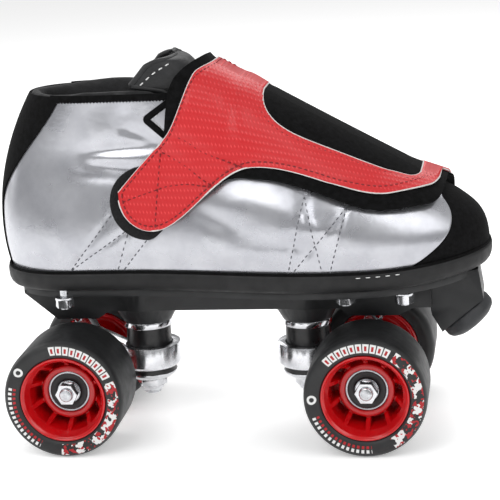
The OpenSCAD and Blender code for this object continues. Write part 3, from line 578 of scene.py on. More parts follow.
def quarterRelief(x, z):
    # folds sink and swells rise as exp(-(distance / width)^2), faded at their ends; seams sink a narrow channel
    out = 0.0 * x
    for sign, group in ((-1, quarter["folds"]), (1, quarter["swells"])):
        for a, b, width, height in group:
            d, t = fromLine(x, z, a, b)
            out += sign * height * gauss(d, width) * (0.45 + 0.55 * np.sin(math.pi * t))
    for a, b in quarter["seams"]:
        out -= quarter["seamDepth"] * gauss(fromLine(x, z, a, b)[0], quarter["seamWidth"])
    return out * smooth((z - soleTop(x) - 1) / 8) * smooth((boot["collar"] - 2 - z) / 6)


def quarterGrid(side, spec):
    # rows from the sole to the collar, columns from the front seam round to the middle of the heel
    top = boot["collar"] - spec["tuck"]
    start = seamAngle(wallHeight(np.radians(30), spec["rows"], top)) - np.radians(0.3)
    angle = start + (np.radians(179.8) - start) * np.linspace(0, 1, spec["cols"])[None, :]
    z = wallHeight(angle, spec["rows"], top)
    x = aroundX(z, angle)
    relief = quarterRelief(x, z) if side < 0 else spec["innerShare"] * quarterRelief(x + 3, z + 2)
    return *skinPoint(x, z, float(side), relief - spec["thick"] / 2), spec["thick"], np.stack([x, z], -1)


def onSide(path, side, lift):
    # a side-view path laid on the boot, with the quarter's own relief under it
    x, z = path[:, 0], path[:, 1]
    return skinPoint(x, z, float(side), lift + quarterRelief(x, z) * (1 if side < 0 else quarter["innerShare"]))


rows = []
for side, node in ((-1, "lateral_quarter"), (1, "medial_quarter")):
    makePiece(node + "_skin", sheetShell(*quarterGrid(side, quarter)), silverVinyl, node)
    rows += [stitchRow(*onSide(evenly(seam, 1.0), side, quarter["stitchLift"]), quarter["stitch"])
             for seam in quarter["seams"]]
makePiece("quarter_stitches", joined(rows), greyThread, "lateral_quarter", **beside)
print("quarters made")

# napped suede, its back edge tucked under the quarters
toeCap = {"rows": 60, "cols": 120, "thick": 1.4, "top": 127.5, "tuck": 1.2, "under": 2.5, "wave": 0.12}


def toeCapGrid(spec):
    # columns from seam to seam over the toe; a faint wave is the product of three sines
    share = np.linspace(-1, 1, spec["cols"])[None, :]
    limit = seamAngle(wallHeight(np.radians(30), spec["rows"], spec["top"])) + np.radians(spec["under"])
    angle = limit * share
    z = wallHeight(angle, spec["rows"], spec["top"])
    x = aroundX(z, angle)
    tucked = spec["tuck"] * smooth((np.abs(share) - 0.9) / 0.07)
    wave = spec["wave"] * np.sin(x * 0.31 + z * 0.17) * np.sin(z * 0.23)
    return *skinPoint(x, z, np.where(angle > 0, -1.0, 1.0), -spec["thick"] / 2 - tucked + wave), spec["thick"]


makePiece("toe_cap_suede", sheetShell(*toeCapGrid(toeCap)), blackSuede, "toe_cap")

counter = {"rows": 90, "cols": 46, "thick": 0.9, "lift": 0.55, "low": 1.2, "spread": 19.0, "bulge": 0.25}


def counterGrid(spec):
    # strip round the heel whose width grows from the sole to the collar as 3 t^2 - 2 t^3
    z = np.linspace(boot["soleTop"] + 0.5, boot["collar"] - 0.2, spec["rows"])[:, None]
    width = spec["low"] + spec["spread"] * smooth((z - 120) / 58)
    half = math.pi - angleAt(heelX(z) + width, z)
    share = np.linspace(-1, 1, spec["cols"])[None, :]
    lift = spec["lift"] + spec["bulge"] * (1 - share ** 4)
    return *aroundPoint(z, math.pi + half * share, lift), spec["thick"]


makePiece("heel_counter_suede", sheetShell(*counterGrid(counter)), blackSuede, "heel_counter")

band = {"rows": 12, "cols": 420, "thick": 0.8, "lift": 0.55, "low": 177.6, "high": 181.0, "tooth": 1.7,
        "toothHeight": 0.75, "front": -30.0, "fromHeel": 17}


def bandGrid(side, spec):
    # band under the rim; its lower edge is pinked: a triangle wave, one tooth every 1.7 mm
    x = np.linspace(heelX(178) + spec["fromHeel"], spec["front"], spec["cols"])[None, :]
    low = spec["low"] + spec["toothHeight"] * np.abs(2 * ((x / spec["tooth"]) % 1.0) - 1)
    z = low + np.linspace(0, 1, spec["rows"])[:, None] * (spec["high"] - low)
    return *skinPoint(x, z, float(side), spec["lift"]), spec["thick"]


makePiece("collar_band_suede", joined([sheetShell(*bandGrid(side, band)) for side in (-1, 1)]), blackSuede,
          "collar_band")
print("toe cap, heel counter and collar band made")

# a foam roll in lining cloth, over the rim and down inside
padding = {
    "cols": 200, "start": 70, "end": 290, "middle": (-5.5, 168.0), "taper": 0.035, "lumps": 0.25,
    # cross-section, as lift from the skin and height
    "section": [(-3.0, 153), (-2.9, 166), (-2.6, 176), (-0.9, 179.8), (0.6, 180.4), (0.7, 181.4), (-0.6, 182.4),
                (-2.8, 182.9), (-5.2, 182.3), (-7.2, 180.4), (-8.6, 176.5), (-9.4, 170), (-9.3, 163), (-8.2, 157),
                (-6.0, 153.4), (-4.2, 152.2)],
    "sectionPoints": 56,
    # voxel and cap in mm; quality and mass as in Blender's cloth panel
    "puff": {"voxel": 2.2, "pressure": 4.0, "frames": 20, "cap": 0.9, "quality": 6, "mass": 0.3},
}


def rounded(section, count):
    # closed curve through the section's points: a Catmull-Rom spline sampled count times
    s = np.asarray(section, float)
    n = len(s)
    t = np.linspace(0, n, count, endpoint=False)
    i, f = np.floor(t).astype(int) % n, (t % 1)[:, None]
    a, b, c, d = s[(i - 1) % n], s[i], s[(i + 1) % n], s[(i + 2) % n]
    return 0.5 * (2 * b + (c - a) * f + (2 * a - 5 * b + 4 * c - d) * f ** 2 + (3 * b - a - 3 * c + d) * f ** 3)


def paddingShape(spec):
    # the cross-section carried round the heel, shrinking as a quarter circle at both front ends, which are closed
    section = rounded(spec["section"], spec["sectionPoints"])
    angle = np.radians(np.linspace(spec["start"], spec["end"], spec["cols"]))[:, None]
    share = np.abs(np.linspace(-1, 1, spec["cols"]))[:, None]
    size = np.sqrt(1 - np.clip((share - 1 + spec["taper"]) / spec["taper"], 0, 0.999) ** 2)
    lift = spec["middle"][0] + (section[None, :, 0] - spec["middle"][0]) * size
    z = spec["middle"][1] + (section[None, :, 1] - spec["middle"][1]) * (0.25 + 0.75 * size)
    p, _ = aroundPoint(z, angle, lift + spec["lumps"] * np.sin(angle * 17) * np.sin(z * 0.25))
    rings, size = p.shape[:2]
    ends = [list(range(size))[::-1], [(rings - 1) * size + k for k in range(size)]]
    return p, gridQuads(rings, size, wrap=True).tolist() + ends


def puffed(ob, spec):
    # The pad's skin is blown up as cloth: remeshed evenly, run for a few frames under pressure without gravity,
    # and no point moves further than the cap.
    scene = bpy.context.scene
    remesh = ob.modifiers.new("even", "REMESH")
    remesh.mode, remesh.voxel_size = "VOXEL", spec["voxel"] / 1000
    start = bpy.data.meshes.new_from_object(ob.evaluated_get(bpy.context.evaluated_depsgraph_get()))
    ob.modifiers.remove(remesh)
    pad = addObject(ob.name + "Pad", start)
    cloth = pad.modifiers.new("cloth", "CLOTH")
    cloth.settings.quality, cloth.settings.mass = spec["quality"], spec["mass"]
    cloth.settings.use_pressure, cloth.settings.uniform_pressure_force = True, spec["pressure"]
    cloth.settings.effector_weights.gravity = 0
    cloth.point_cache.frame_start, cloth.point_cache.frame_end = 1, spec["frames"]
    for step in range(1, spec["frames"] + 1):
        scene.frame_set(step)
    end = pad.evaluated_get(bpy.context.evaluated_depsgraph_get()).to_mesh()
    before, after = np.zeros((2, 3 * len(start.vertices)))
    start.vertices.foreach_get("co", before)
    end.vertices.foreach_get("co", after)
    before, after = before.reshape(-1, 3), after.reshape(-1, 3)
    move = after - before
    far = np.linalg.norm(move, axis=1, keepdims=True) + 1e-12
    move *= np.minimum(far, spec["cap"] / 1000) / far
    print(f"{ob.name}: {len(before)} points, moved {far.mean() * 1000:.2f} mm on average, "
          f"{far.max() * 1000:.2f} at most")
    pad.modifiers.remove(cloth)
    start.vertices.foreach_set("co", (before + move).ravel())
    start.polygons.foreach_set("use_smooth", np.ones(len(start.polygons), bool))
    scene.frame_set(1)
    ob.data = start
    bpy.data.objects.remove(pad)
    smoother = ob.modifiers.new("rounded", "SUBSURF")
    smoother.levels = smoother.render_levels = 1


collarPadding = makePiece("collar_padding_cloth", paddingShape(padding), liningCloth, "collar_padding")
puffed(collarPadding, padding["puff"])

# padded leather with a bound edge and a white seam beside it
tongue = {"rows": 170, "cols": 120, "low": 128.0, "top": 203.0, "lift": -5.1, "thick": 3.6, "edgeThick": 1.6,
          "bind": 1.7, "bindFlat": 0.85, "bindLow": 176, "seamLift": 0.12,
          "seam": [(-46, 184.6), (-42, 188.0), (-37.5, 191.3), (-33, 193.8), (-28.6, 196.4)],
          "stitch": {"length": 2.3, "gap": 1.2, "width": 0.7}}


def tongueLimit(z):
    # angle of the back edge: upright up to 184 mm, then leaning forward, and more so near the top
    backX = -50.7 + 0.95 * np.maximum(0, z - 184.5) + np.maximum(0, z - 194.2)
    widest = np.radians(66 + 22 * smooth((z - 182) / 4))
    return np.maximum(np.minimum(angleAt(backX, z), widest), np.radians(10))


def tongueGrid(spec):
    # thickness: edge + (full - edge) * (1 - share^6), thinned over the last 5 mm
    z = np.linspace(spec["low"], spec["top"], spec["rows"])[:, None]
    share = np.linspace(-1, 1, spec["cols"])[None, :]
    crown = (1 - share ** 6) * smooth((spec["top"] - z) / 5)
    return (*aroundPoint(z, tongueLimit(z) * share, spec["lift"]),
            spec["edgeThick"] + (spec["thick"] - spec["edgeThick"]) * crown)


tonguePad = makePiece("tongue_leather", sheetShell(*tongueGrid(tongue)), blackLeather, "tongue")

z = np.linspace(tongue["bindLow"], tongue["top"] - 0.2, 60)
seam = evenly(tongue["seam"], 0.8)
seamLift = tongue["lift"] + tongue["thick"] / 2 + tongue["seamLift"]
edges, rows = [], []
for sign in (-1, 1):
    edges.append(aroundPoint(z, sign * tongueLimit(z), tongue["lift"]))
    rows.append(stitchRow(*skinPoint(seam[:, 0], seam[:, 1], -float(sign), seamLift), tongue["stitch"]))
edges.append(aroundPoint(tongue["top"], np.linspace(-1, 1, 60) * tongueLimit(tongue["top"]), tongue["lift"]))
binding = [tube(p, tongue["bind"], 10, up=n, flat=tongue["bindFlat"]) for p, n in edges]
makePiece("tongue_binding", joined(binding), blackLeather, "tongue", **beside)
makePiece("tongue_stitches", joined(rows), whiteThread, "tongue", **beside)
print("collar padding and tongue made")

# throat notch: a V of black binding at the front of the collar, sewn with pale thread
notch = {"path": [(-31, 176.6), (-43.0, 168.4), (-32, 158.6)], "width": 3.4, "flat": 0.35, "lift": 0.45,
         "seam": [(-34.5, 172.3), (-39.4, 168.4), (-33.2, 162.2)], "seamSink": 0.1, "corner": 1.5,
         "stitch": {"length": 1.5, "gap": 0.7, "width": 0.4}}


def cornered(path, radius, count=40):
    # a three-point path with its corner rounded by a quadratic curve
    a, b, c = (np.array(v, float) for v in path)
    u = b + (a - b) / np.linalg.norm(a - b) * radius
    w = b + (c - b) / np.linalg.norm(c - b) * radius
    t = np.linspace(0, 1, count)[:, None]
    return evenly(np.concatenate([[a], (1 - t) ** 2 * u + 2 * t * (1 - t) * b + t ** 2 * w, [c]]), 0.6)


for side, tag in ((-1, "outer"), (1, "inner")):
    p, n = onSide(cornered(notch["path"], notch["corner"]), side, notch["lift"])
    makePiece("notch_binding_" + tag, tube(p, notch["width"] / 2, 10, up=n, flat=notch["flat"]), blackSuede,
              "collar_band", **beside)
    seam = onSide(cornered(notch["seam"], notch["corner"]), side, notch["lift"] - notch["seamSink"])
    makePiece("notch_stitches_" + tag, stitchRow(*seam, notch["stitch"]), whiteThread, "tongue", **beside)

# moulded rubber with a rounded lower edge, a thin rand where the upper meets it and a row of stitches at the toe
sole = {
    "cols": 220, "outlineZ": 98.0,
    # side profile from the underside to the top: distance outside the upper's outline and height
    "profile": [(-3.6, 80.0), (-2.2, 80.15), (-0.9, 80.8), (0.2, 82.0), (0.95, 83.8), (1.25, 85.6), (1.3, 88.2),
                (1.15, 89.2), (0.6, 89.8), (-0.4, 90.05)],
    "rand": 0.75, "randLift": 0.1, "randRise": 0.4, "stitchSpan": (60, 84), "stitchDrop": 1.6, "stitchLift": 1.35,
    "stitch": {"length": 2.4, "gap": 2.0, "width": 0.45},
}
board = {"profile": [(-5.4, 90.05), (-5.05, 90.3), (-5.05, 92.2), (-5.4, 92.5)], "cols": 200}


def soleOutline(lift, count):
    # the upper's outline just over the sole, moved out by lift
    return aroundPoint(sole["outlineZ"], np.linspace(0, 2 * math.pi, count, endpoint=False), lift)[0]


def layered(profile, count):
    # rings of the outline moved out by the profile's distances and raised with the toe spring, closed by rings
    # that shrink to the middle line
    rings, inner = [], [0.001, 0.35, 0.7, 0.9]
    shares = inner + [1.0] * len(profile) + inner[::-1]
    for share, (lift, z) in zip(shares, [profile[0]] * 4 + profile + [profile[-1]] * 4):
        p = soleOutline(lift, count)
        centre = np.stack([np.clip(p[:, 0], -96, 84), middleY(p[:, 0]), p[:, 2]], -1)
        p = centre + (p - centre) * share
        p[:, 2] = z + soleTop(p[:, 0]) - boot["soleTop"]
        rings.append(p)
    return np.array(rings), gridQuads(len(rings), count, wrap=True)


makePiece("outsole_rubber", layered(sole["profile"], sole["cols"]), soleRubber, "outsole")
path = soleOutline(sole["randLift"], 260)
path[:, 2] = soleTop(path[:, 0]) + sole["randRise"]
makePiece("sole_rand", tube(path, sole["rand"], 8, closed=True), blackSuede, "outsole", **beside)
x = np.linspace(*sole["stitchSpan"], 40)
p, n = skinPoint(x, sole["outlineZ"], -1.0, sole["stitchLift"])
p[:, 2] = soleTop(x) - sole["stitchDrop"]
makePiece("sole_stitches", stitchRow(p, n, sole["stitch"]), whiteThread, "outsole", **beside)
makePiece("insole_board_cloth", layered(board["profile"], board["cols"]), insoleBoardCloth, "insole_board")
print("sole and insole board made")

# shape functions as in the CAD; v runs from the lower edge outside, over the ridge at 0, to the inner side
strap = {
    "tabX": -41, "tabZ": 130, "tabR": 18, "endX": 104, "ridgeStart": -2, "floor": 104, "lift": 1.6,
    "hinge": ((100, 42, 111), (-22, 37, 160)), "hingeAcross": (0.26, -0.78, 0.565), "rows": 230, "cols": 150,
    "coverThick": 1.1, "coverLift": 4.35, "backThick": 1.0, "backLift": 3.0,
    # the lower edge rises past the tab and falls to the toe: height, start and length of each
    "rise": 30, "riseLong": 52, "fall": 18, "fallFrom": 11, "fallLong": 68, "cornerX": 96.5, "cornerR": 8.0,
    # the arm's upper edge: slope and bend; the top edge: height and slope; and how softly the two meet
    "armOver": 2.5, "armSlope": 1.07, "armBend": 0.11, "top": 189, "topSlope": 0.3, "tabBack": 1.28, "soft": 3.0,
    "cutX": 52, "cutLong": 39.5, "cutHalf": 0.40, "cutDeep": 0.9, "windowThick": 0.8,
    "puff": 0.35, "tabSeamDepth": 0.3, "tabSeamWidth": 1.6, "crest": 0.5, "crease": 0.45,
    "edgeThread": 0.42, "cutThread": 0.45, "seamLift": 0.62, "tabSeamLift": 0.38,
    "edgeStitch": {"length": 2.1, "gap": 0.8, "width": 0.75}, "tabStitch": {"length": 2.0, "gap": 0.9, "width": 0.7},
    # seams that hold the tab's lining, as x and share of the half width
    "tabSeams": [((-25.9, -.65), (7.5, -.685)), ((-34.5, -.72), (-39.1, -.95)), ((-34.5, -.72), (-8.1, -.79)),
                 ((-56.6, -.88), (-8.1, -.79))],
}


def tabHalf(x, inset=0.0):
    # half height of the tab: a half circle at its round end, then level
    r = strap["tabR"] - inset
    return np.where(x < strap["tabX"], np.sqrt(np.clip(r * r - (x - strap["tabX"]) ** 2, 0, None)), r)


def strapLow(x, inset=0.0):
    # the tab's round edge, an S-shaped rise to the panel, a fall to the toe and a rounded corner
    r = strap["cornerR"]
    corner = r - np.sqrt(np.clip(r ** 2 - np.clip(x - strap["cornerX"], 0, 7.9) ** 2, 0, None))
    rise = strap["rise"] * smooth((x - strap["tabX"]) / strap["riseLong"])
    fall = strap["fall"] * smooth((x - strap["fallFrom"]) / strap["fallLong"])
    return strap["tabZ"] - tabHalf(x, inset) + rise - fall + corner


def strapHigh(x, inset=0.0):
    # the tab's round end, the arm's edge and the top edge, with the last two blended by a soft minimum
    past, soft = x - strap["tabX"], strap["soft"]
    bend = strap["armBend"] * np.clip(past - 9, 0, 25) ** 2
    arm = strap["tabZ"] + strap["armOver"] + strap["armSlope"] * (past + 17) + bend
    top = strap["top"] + strap["topSlope"] * (x + 18)
    blended = -soft * np.logaddexp(-(arm - inset) / soft, -(top - inset) / soft)
    return np.minimum(blended, np.where(past < 0, strap["tabZ"] + strap["tabBack"] * tabHalf(x, inset), 999))


def hingeHeight(x):
    # straight line between the sewn line's two ends
    a, b = strap["hinge"]
    return a[2] + (b[2] - a[2]) * (a[0] - x) / (a[0] - b[0])


def strapTop(x):
    # the boot's top line, a little lower, and level over its highest part
    return np.minimum(ridgeZ(x), 205) - 0.6


def strapShare(x, z):
    # v of a height: square root of its depth under the top over the whole depth
    return np.sqrt(np.clip((strapTop(x) - z) / (strapTop(x) - strap["floor"]), 0, 1))


def strapPoint(x, v, lift):
    # height: top - (top - floor) v^2; the strap stands a little higher away from its lower edges
    z = strapTop(x) - (strapTop(x) - strap["floor"]) * v * v
    rise = strap["lift"] * smooth((0.95 - np.abs(v)) * 2.2)
    return skinPoint(x, z, np.where(v < 0, -1.0, 1.0), lift + rise)


def strapStart(x, inset):
    return -strapShare(x, strapLow(x, inset))


def strapEnd(x, inset):
    # the upper edge behind the ridge's start, and past it the sewn line on the inner side
    sewnLine = strapShare(x, hingeHeight(x) + 3 + inset) * smooth((x - strap["ridgeStart"] - inset) / 14)
    return np.where(x < strap["ridgeStart"] + inset, -strapShare(x, strapHigh(x, inset)), sewnLine)


def cutReach(x):
    # flat-ended oval along x: (1 - |share|^4)^(1/4)
    return np.clip(1 - np.abs((x - strap["cutX"]) / strap["cutLong"]) ** 4, 1e-6, None) ** 0.25


def cutRadius(x, v):
    # 1 on the edge of the window in the cover
    along = np.abs(x - strap["cutX"]) / strap["cutLong"]
    return np.maximum(np.abs(v) / (strap["cutHalf"] * cutReach(x) + 1e-6), along)


def strapRelief(x, v):
    # the window sinks, the vinyl is puffed between its seams, and two soft folds cross the instep
    sunk = strap["cutDeep"] * smooth((1.015 - cutRadius(x, v)) / 0.03)
    edge = np.minimum(v - strapStart(x, 1), strapEnd(x, 1) - v)
    puff = strap["puff"] * (smooth(edge / 0.16) - smooth((edge - 0.5) / 0.4))
    down = 60  # mm of strap for each unit of v
    away = [fromLine(x, down * v, (a[0], down * a[1]), (b[0], down * b[1]))[0] for a, b in strap["tabSeams"]]
    seams = strap["tabSeamDepth"] * sum(gauss(d, strap["tabSeamWidth"]) for d in away)
    crest = strap["crest"] * gauss(x - 4 - 16 * (v + 0.3) ** 2, 5) * smooth((v + 0.75) / 0.3)
    crease = strap["crease"] * gauss(x + 6 + 9 * v, 4) * smooth(-v / 0.3)
    return puff - sunk - seams + crest - crease


def strapGrid(inset, lift):
    # where the strap crosses the ridge, one column of the grid runs along it
    start = strap["tabX"] - strap["tabR"] + inset + 0.08
    x = start + (strap["endX"] - start) * np.linspace(0, 1, strap["rows"])[:, None] ** 1.35
    share = np.linspace(0, 1, strap["cols"])[None, :]
    begin, end = strapStart(x, inset), strapEnd(x, inset)
    kept = smooth(end / 0.15)
    onRidge = np.where(share < 0.6, begin * (1 - share / 0.6), end * (share - 0.6) / 0.4)
    v = (1 - kept) * (begin * (1 - share) + end * share) + kept * onRidge
    x = x + 0 * v
    return strapPoint(x, v, lift + strapRelief(x, v))


def liningGrid(lift):
    # the lining is as wide as the cover at the tab, 4.5 mm wider along the panel and 5 to 7 mm wider at the back
    start = strap["tabX"] - strap["tabR"] + 1.6
    x = start + (strap["endX"] + 2.2 - start) * np.linspace(0, 1, strap["rows"])[:, None] ** 1.2
    low = -strapShare(x, strapLow(x, 1.3) - 5.6 * smooth((x + 8) / 22))
    arm, shoulder = strapHigh(x, 1.3), 195.5 - 19 * np.exp(-(x + 32) / 5)
    back = np.maximum(arm, np.minimum(arm + 26 * smooth((x + 33.5) / 4), shoulder))
    high = np.where(x < strap["ridgeStart"] - 1.5, -strapShare(x, back),
                    strapEnd(np.maximum(x, strap["ridgeStart"]), -1.5))
    v = low + (high - low) * np.linspace(0, 1, strap["cols"])[None, :]
    return strapPoint(x + 0 * v, v, lift)


def sewn(name, shape, material, node, **rest):
    # a piece of the strap on no body, its place baked into its mesh
    piece = makePiece(name, shape, material, node, None, **rest)
    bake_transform(piece)


sewn("strap_lining_suede", sheetShell(*liningGrid(strap["backLift"]), strap["backThick"]), blackSuede,
     "strap_backing")


def weavePlace(p):
    # where the flat sheet's rows fall: along x, and down both sides as 0.75 * (z - distance from the middle line)
    down = 0.75 * (p[..., 2] - np.abs(p[..., 1] - middleY(p[..., 0]))) + 0.1 * p[..., 0]
    return np.stack([p[..., 0], down], -1)


def woven(name, spec):
    # Embossed carbon-weave vinyl: rows of small slanted pads, their crests made paler by a painted highlight. u and v
    # are in mm.
    material = finish(name, {"Roughness": 0.42, "Specular IOR Level": 0.5, "Coat Weight": 0.1}, None,
                      [("noise", 10.0, 0.2)])
    tree = material.node_tree
    out = tree.nodes["Principled BSDF"]
    place = addNode(tree, "SeparateXYZ", feeds={0: addNode(tree, "UVMap", {"uv_map": "surface"}).outputs[0]})
    sockets = {"u": place.outputs[0], "v": place.outputs[1]}
    # row = floor(v / pitch); the pads of odd rows are moved half a pad; each pad is a raised cosine both ways
    for made, operation, *values in (
            ("r", "DIVIDE", "v", spec["rowPitch"]), ("row", "FLOOR", "r"), ("odd", "MODULO", "row", 2),
            ("shift", "MULTIPLY", "odd", 0.5), ("rowPart", "FRACT", "r"), ("slant", "MULTIPLY", "rowPart", 0.55),
            ("c0", "DIVIDE", "u", spec["padPitch"]), ("c1", "ADD", "c0", "shift"), ("c2", "ADD", "c1", "slant"),
            ("part", "PINGPONG", "c2", 0.5), ("high", "PINGPONG", "rowPart", 0.5),
            ("crest", "MULTIPLY", "part", "high"), ("pad", "MULTIPLY", "crest", 4.0)):
        feeds = {k: sockets.get(value, value) for k, value in enumerate(values)}
        sockets[made] = addNode(tree, "Math", {"operation": operation}, feeds).outputs[0]
    # painted highlight: the colour goes paler where each pad's relief is highest
    paintedCrestHighlight = addNode(tree, "MapRange", {"interpolation_type": "SMOOTHSTEP", 1: 0.35, 2: 0.85}, {0: sockets["pad"]})
    mix = addNode(tree, "Mix", {"data_type": "RGBA", 6: linear(spec["low"]), 7: linear(spec["high"])},
                  {0: paintedCrestHighlight.outputs[0]})
    tree.links.new(mix.outputs[2], out.inputs["Base Color"])
    bump = addNode(tree, "Bump", {"Strength": 1.0, "Distance": spec["relief"] / 1000},
                   {"Height": sockets["pad"], "Normal": out.inputs["Normal"].links[0].from_socket})
    tree.links.new(bump.outputs[0], out.inputs["Normal"])
    return material


# low is the vinyl's red; high is the painted highlight on the pads' crests
redCarbonVinyl = woven("redCarbonVinyl", {"rowPitch": 3.3, "padPitch": 1.9, "low": "c01218", "high": "d8383b",
                                          "relief": 0.16})
p, n = strapGrid(1.0, strap["coverLift"])
sewn("strap_cover_vinyl", sheetShell(p, n, strap["coverThick"], weavePlace(p)), redCarbonVinyl, "strap_cover")


def alongEdges(x, inset, lift, stop):
    # the cover's lower edge, and its upper one as far as x = stop, moved in by inset
    high = x[x < stop]
    return (strapPoint(x, strapStart(x, inset), strap["coverLift"] + lift),
            strapPoint(high, strapEnd(high, inset), strap["coverLift"] + lift))


def ovalPath(grow, lift, count=300):
    # window outline: x = cutX + long * sign(cos) |cos|^(1/2), v from the flat-ended oval, both grown outwards
    a = np.linspace(0, 2 * math.pi, count)
    x = strap["cutX"] + (strap["cutLong"] + grow) * signedPower(np.cos(a), 0.5)
    return strapPoint(x, (strap["cutHalf"] + grow / 75) * signedPower(np.sin(a), 0.5), strap["coverLift"] + lift)


# raw cut edge of the cover's pale base round the strap and its window, and the seams inside it
tip, end = strap["tabX"] - strap["tabR"], np.array(strap["endX"])
x = tip + 0.95 + (end - tip - 1.0) * np.linspace(0, 1, 500) ** 1.2
share = np.linspace(0, 1, 80)
acrossEnd = strapStart(end, 1.0) * (1 - share) + strapEnd(end, 1.0) * share
cutEdges = [*alongEdges(x, 0.8, 0.1, strap["ridgeStart"] + 0.6),
            strapPoint(end + 0.1, acrossEnd, strap["coverLift"] + 0.1)]
sewn("strap_raw_edge", joined([tube(p, strap["edgeThread"], 6, up=n) for p, n in cutEdges]), rawEdge, "strap_cover",
     **beside)
x = x[(x > -57.4) & (x < 101.5)]
seams = [*alongEdges(x, 3.0, strap["seamLift"], strap["ridgeStart"] - 1), ovalPath(2.6, strap["seamLift"])]
sewn("strap_edge_stitches", joined([stitchRow(*s, strap["edgeStitch"]) for s in seams]), redThread, "strap_cover",
     **beside)
seams = [strapPoint(*evenly(ends, 0.5).T, strap["coverLift"] + strap["tabSeamLift"]) for ends in strap["tabSeams"]]
sewn("strap_tab_stitches", joined([stitchRow(*s, strap["tabStitch"]) for s in seams]), redThread, "strap_cover",
     **beside)
p, n = (v[:-1] for v in ovalPath(0.0, 0.35))
sewn("strap_window_edge", tube(p, strap["cutThread"], 6, closed=True, up=n), rawEdge, "strap_cover", **beside)

x = strap["cutX"] + (strap["cutLong"] - 0.5) * np.sin(np.linspace(-1.5, 1.5, 120))[:, None]
v = (strap["cutHalf"] - 0.008) * cutReach(x) * np.linspace(-1, 1, 60)[None, :]
x = x + 0 * v
p, n = strapPoint(x, v, strap["coverLift"] - 0.12 + 0.25 * smooth((1 - cutRadius(x, v)) / 0.12))
sewn("strap_window_suede", sheetShell(p, n, strap["windowThick"]), blackSuede, "strap_backing", replaces=False)

hookPad = {"from": -52, "to": -26, "inset": 3, "height": 13, "lift": 2.0, "thick": 0.6}
x = np.linspace(hookPad["from"], hookPad["to"], 40)[:, None]
z = strapLow(x) + hookPad["inset"] + hookPad["height"] * np.linspace(0, 1, 30)[None, :]
makePiece("hook_pad_tape", sheetShell(*skinPoint(x, z, -1.0, hookPad["lift"]), hookPad["thick"]), loopPile,
          "hook_pad", "strap")
print("strap made")

# round at the back, running up under the strap in front
loopPatch = {"x": -44.5, "z": 127, "r": 19.0, "front": -24, "rise": 22, "lift": 0.65, "thick": 1.0}
x = np.concatenate([loopPatch["x"] - loopPatch["r"] * np.cos(np.linspace(0.08, math.pi / 2, 50)),
                    np.linspace(loopPatch["x"] + 1, loopPatch["front"], 24)])[:, None]
past = x - loopPatch["x"]
half = np.where(past < 0, np.sqrt(np.clip(loopPatch["r"] ** 2 - past ** 2, 0, None)), loopPatch["r"])
share = np.linspace(0, 1, 50)[None, :]
z = ((loopPatch["z"] - half + loopPatch["rise"] * smooth(past / 26)) * (1 - share)
     + (loopPatch["z"] + half * 0.9) * share)
makePiece("loop_patch_pile", sheetShell(*skinPoint(x, z, -1.0, loopPatch["lift"]), loopPatch["thick"]), loopPile,
          "loop_patch")

# heights in mm, distances from the throat in degrees round the boot
eyestay = {"low": 132, "high": 164, "thick": 0.55, "lift": 0.36, "near": 1.5, "wide": 18.5,
           "seams": (3.2, 17.8), "seamLift": 0.68, "stitch": {"length": 1.9, "gap": 1.0, "width": 0.42}}
z = np.linspace(eyestay["low"], eyestay["high"], 60)[:, None]
away = eyestay["near"] + eyestay["wide"] * np.linspace(0, 1, 24)[None, :]
parts, rows = [], []
for sign in (-1, 1):
    grid = aroundPoint(z, sign * (throatAngle(z) + np.radians(away)), eyestay["lift"])
    parts.append(sheetShell(*grid, eyestay["thick"]))
    for seam in eyestay["seams"]:
        angle = sign * (throatAngle(z[:, 0]) + np.radians(seam))
        rows.append(stitchRow(*aroundPoint(z[:, 0], angle, eyestay["seamLift"]), eyestay["stitch"]))
makePiece("eyestay_leather", joined(parts), blackLeather, "eyestays")
makePiece("eyestay_stitches", joined(rows), greyThread, "eyestays", **beside)

lace = {"low": 136, "high": 160, "count": 6, "lift": 2.0, "sink": 1.9, "rise": 6, "halfWidth": 1.9, "flat": 0.35,
        "past": 9}
share = np.linspace(-1, 1, 80)
lift = lace["lift"] - lace["sink"] * smooth((np.abs(share) - 0.955) / 0.045)
width = lace["halfWidth"] * (1 - 0.45 * smooth((np.abs(share) - 0.9) / 0.09))
parts = []
for z in np.linspace(lace["low"], lace["high"], lace["count"]):
    # each bar bows up as 1 - share^2 and dives into its eyelets
    end = throatAngle(np.array(z)) + np.radians(lace["past"])
    p, n = aroundPoint(z + lace["rise"] * (1 - share ** 2), share * end, lift)
    parts.append(tube(p, width, 12, up=n, flat=lace["flat"]))
makePiece("lace_bars", joined(parts), laceCotton, "lace", recalculate=False)
print("loop patch, eyestays and laces made")

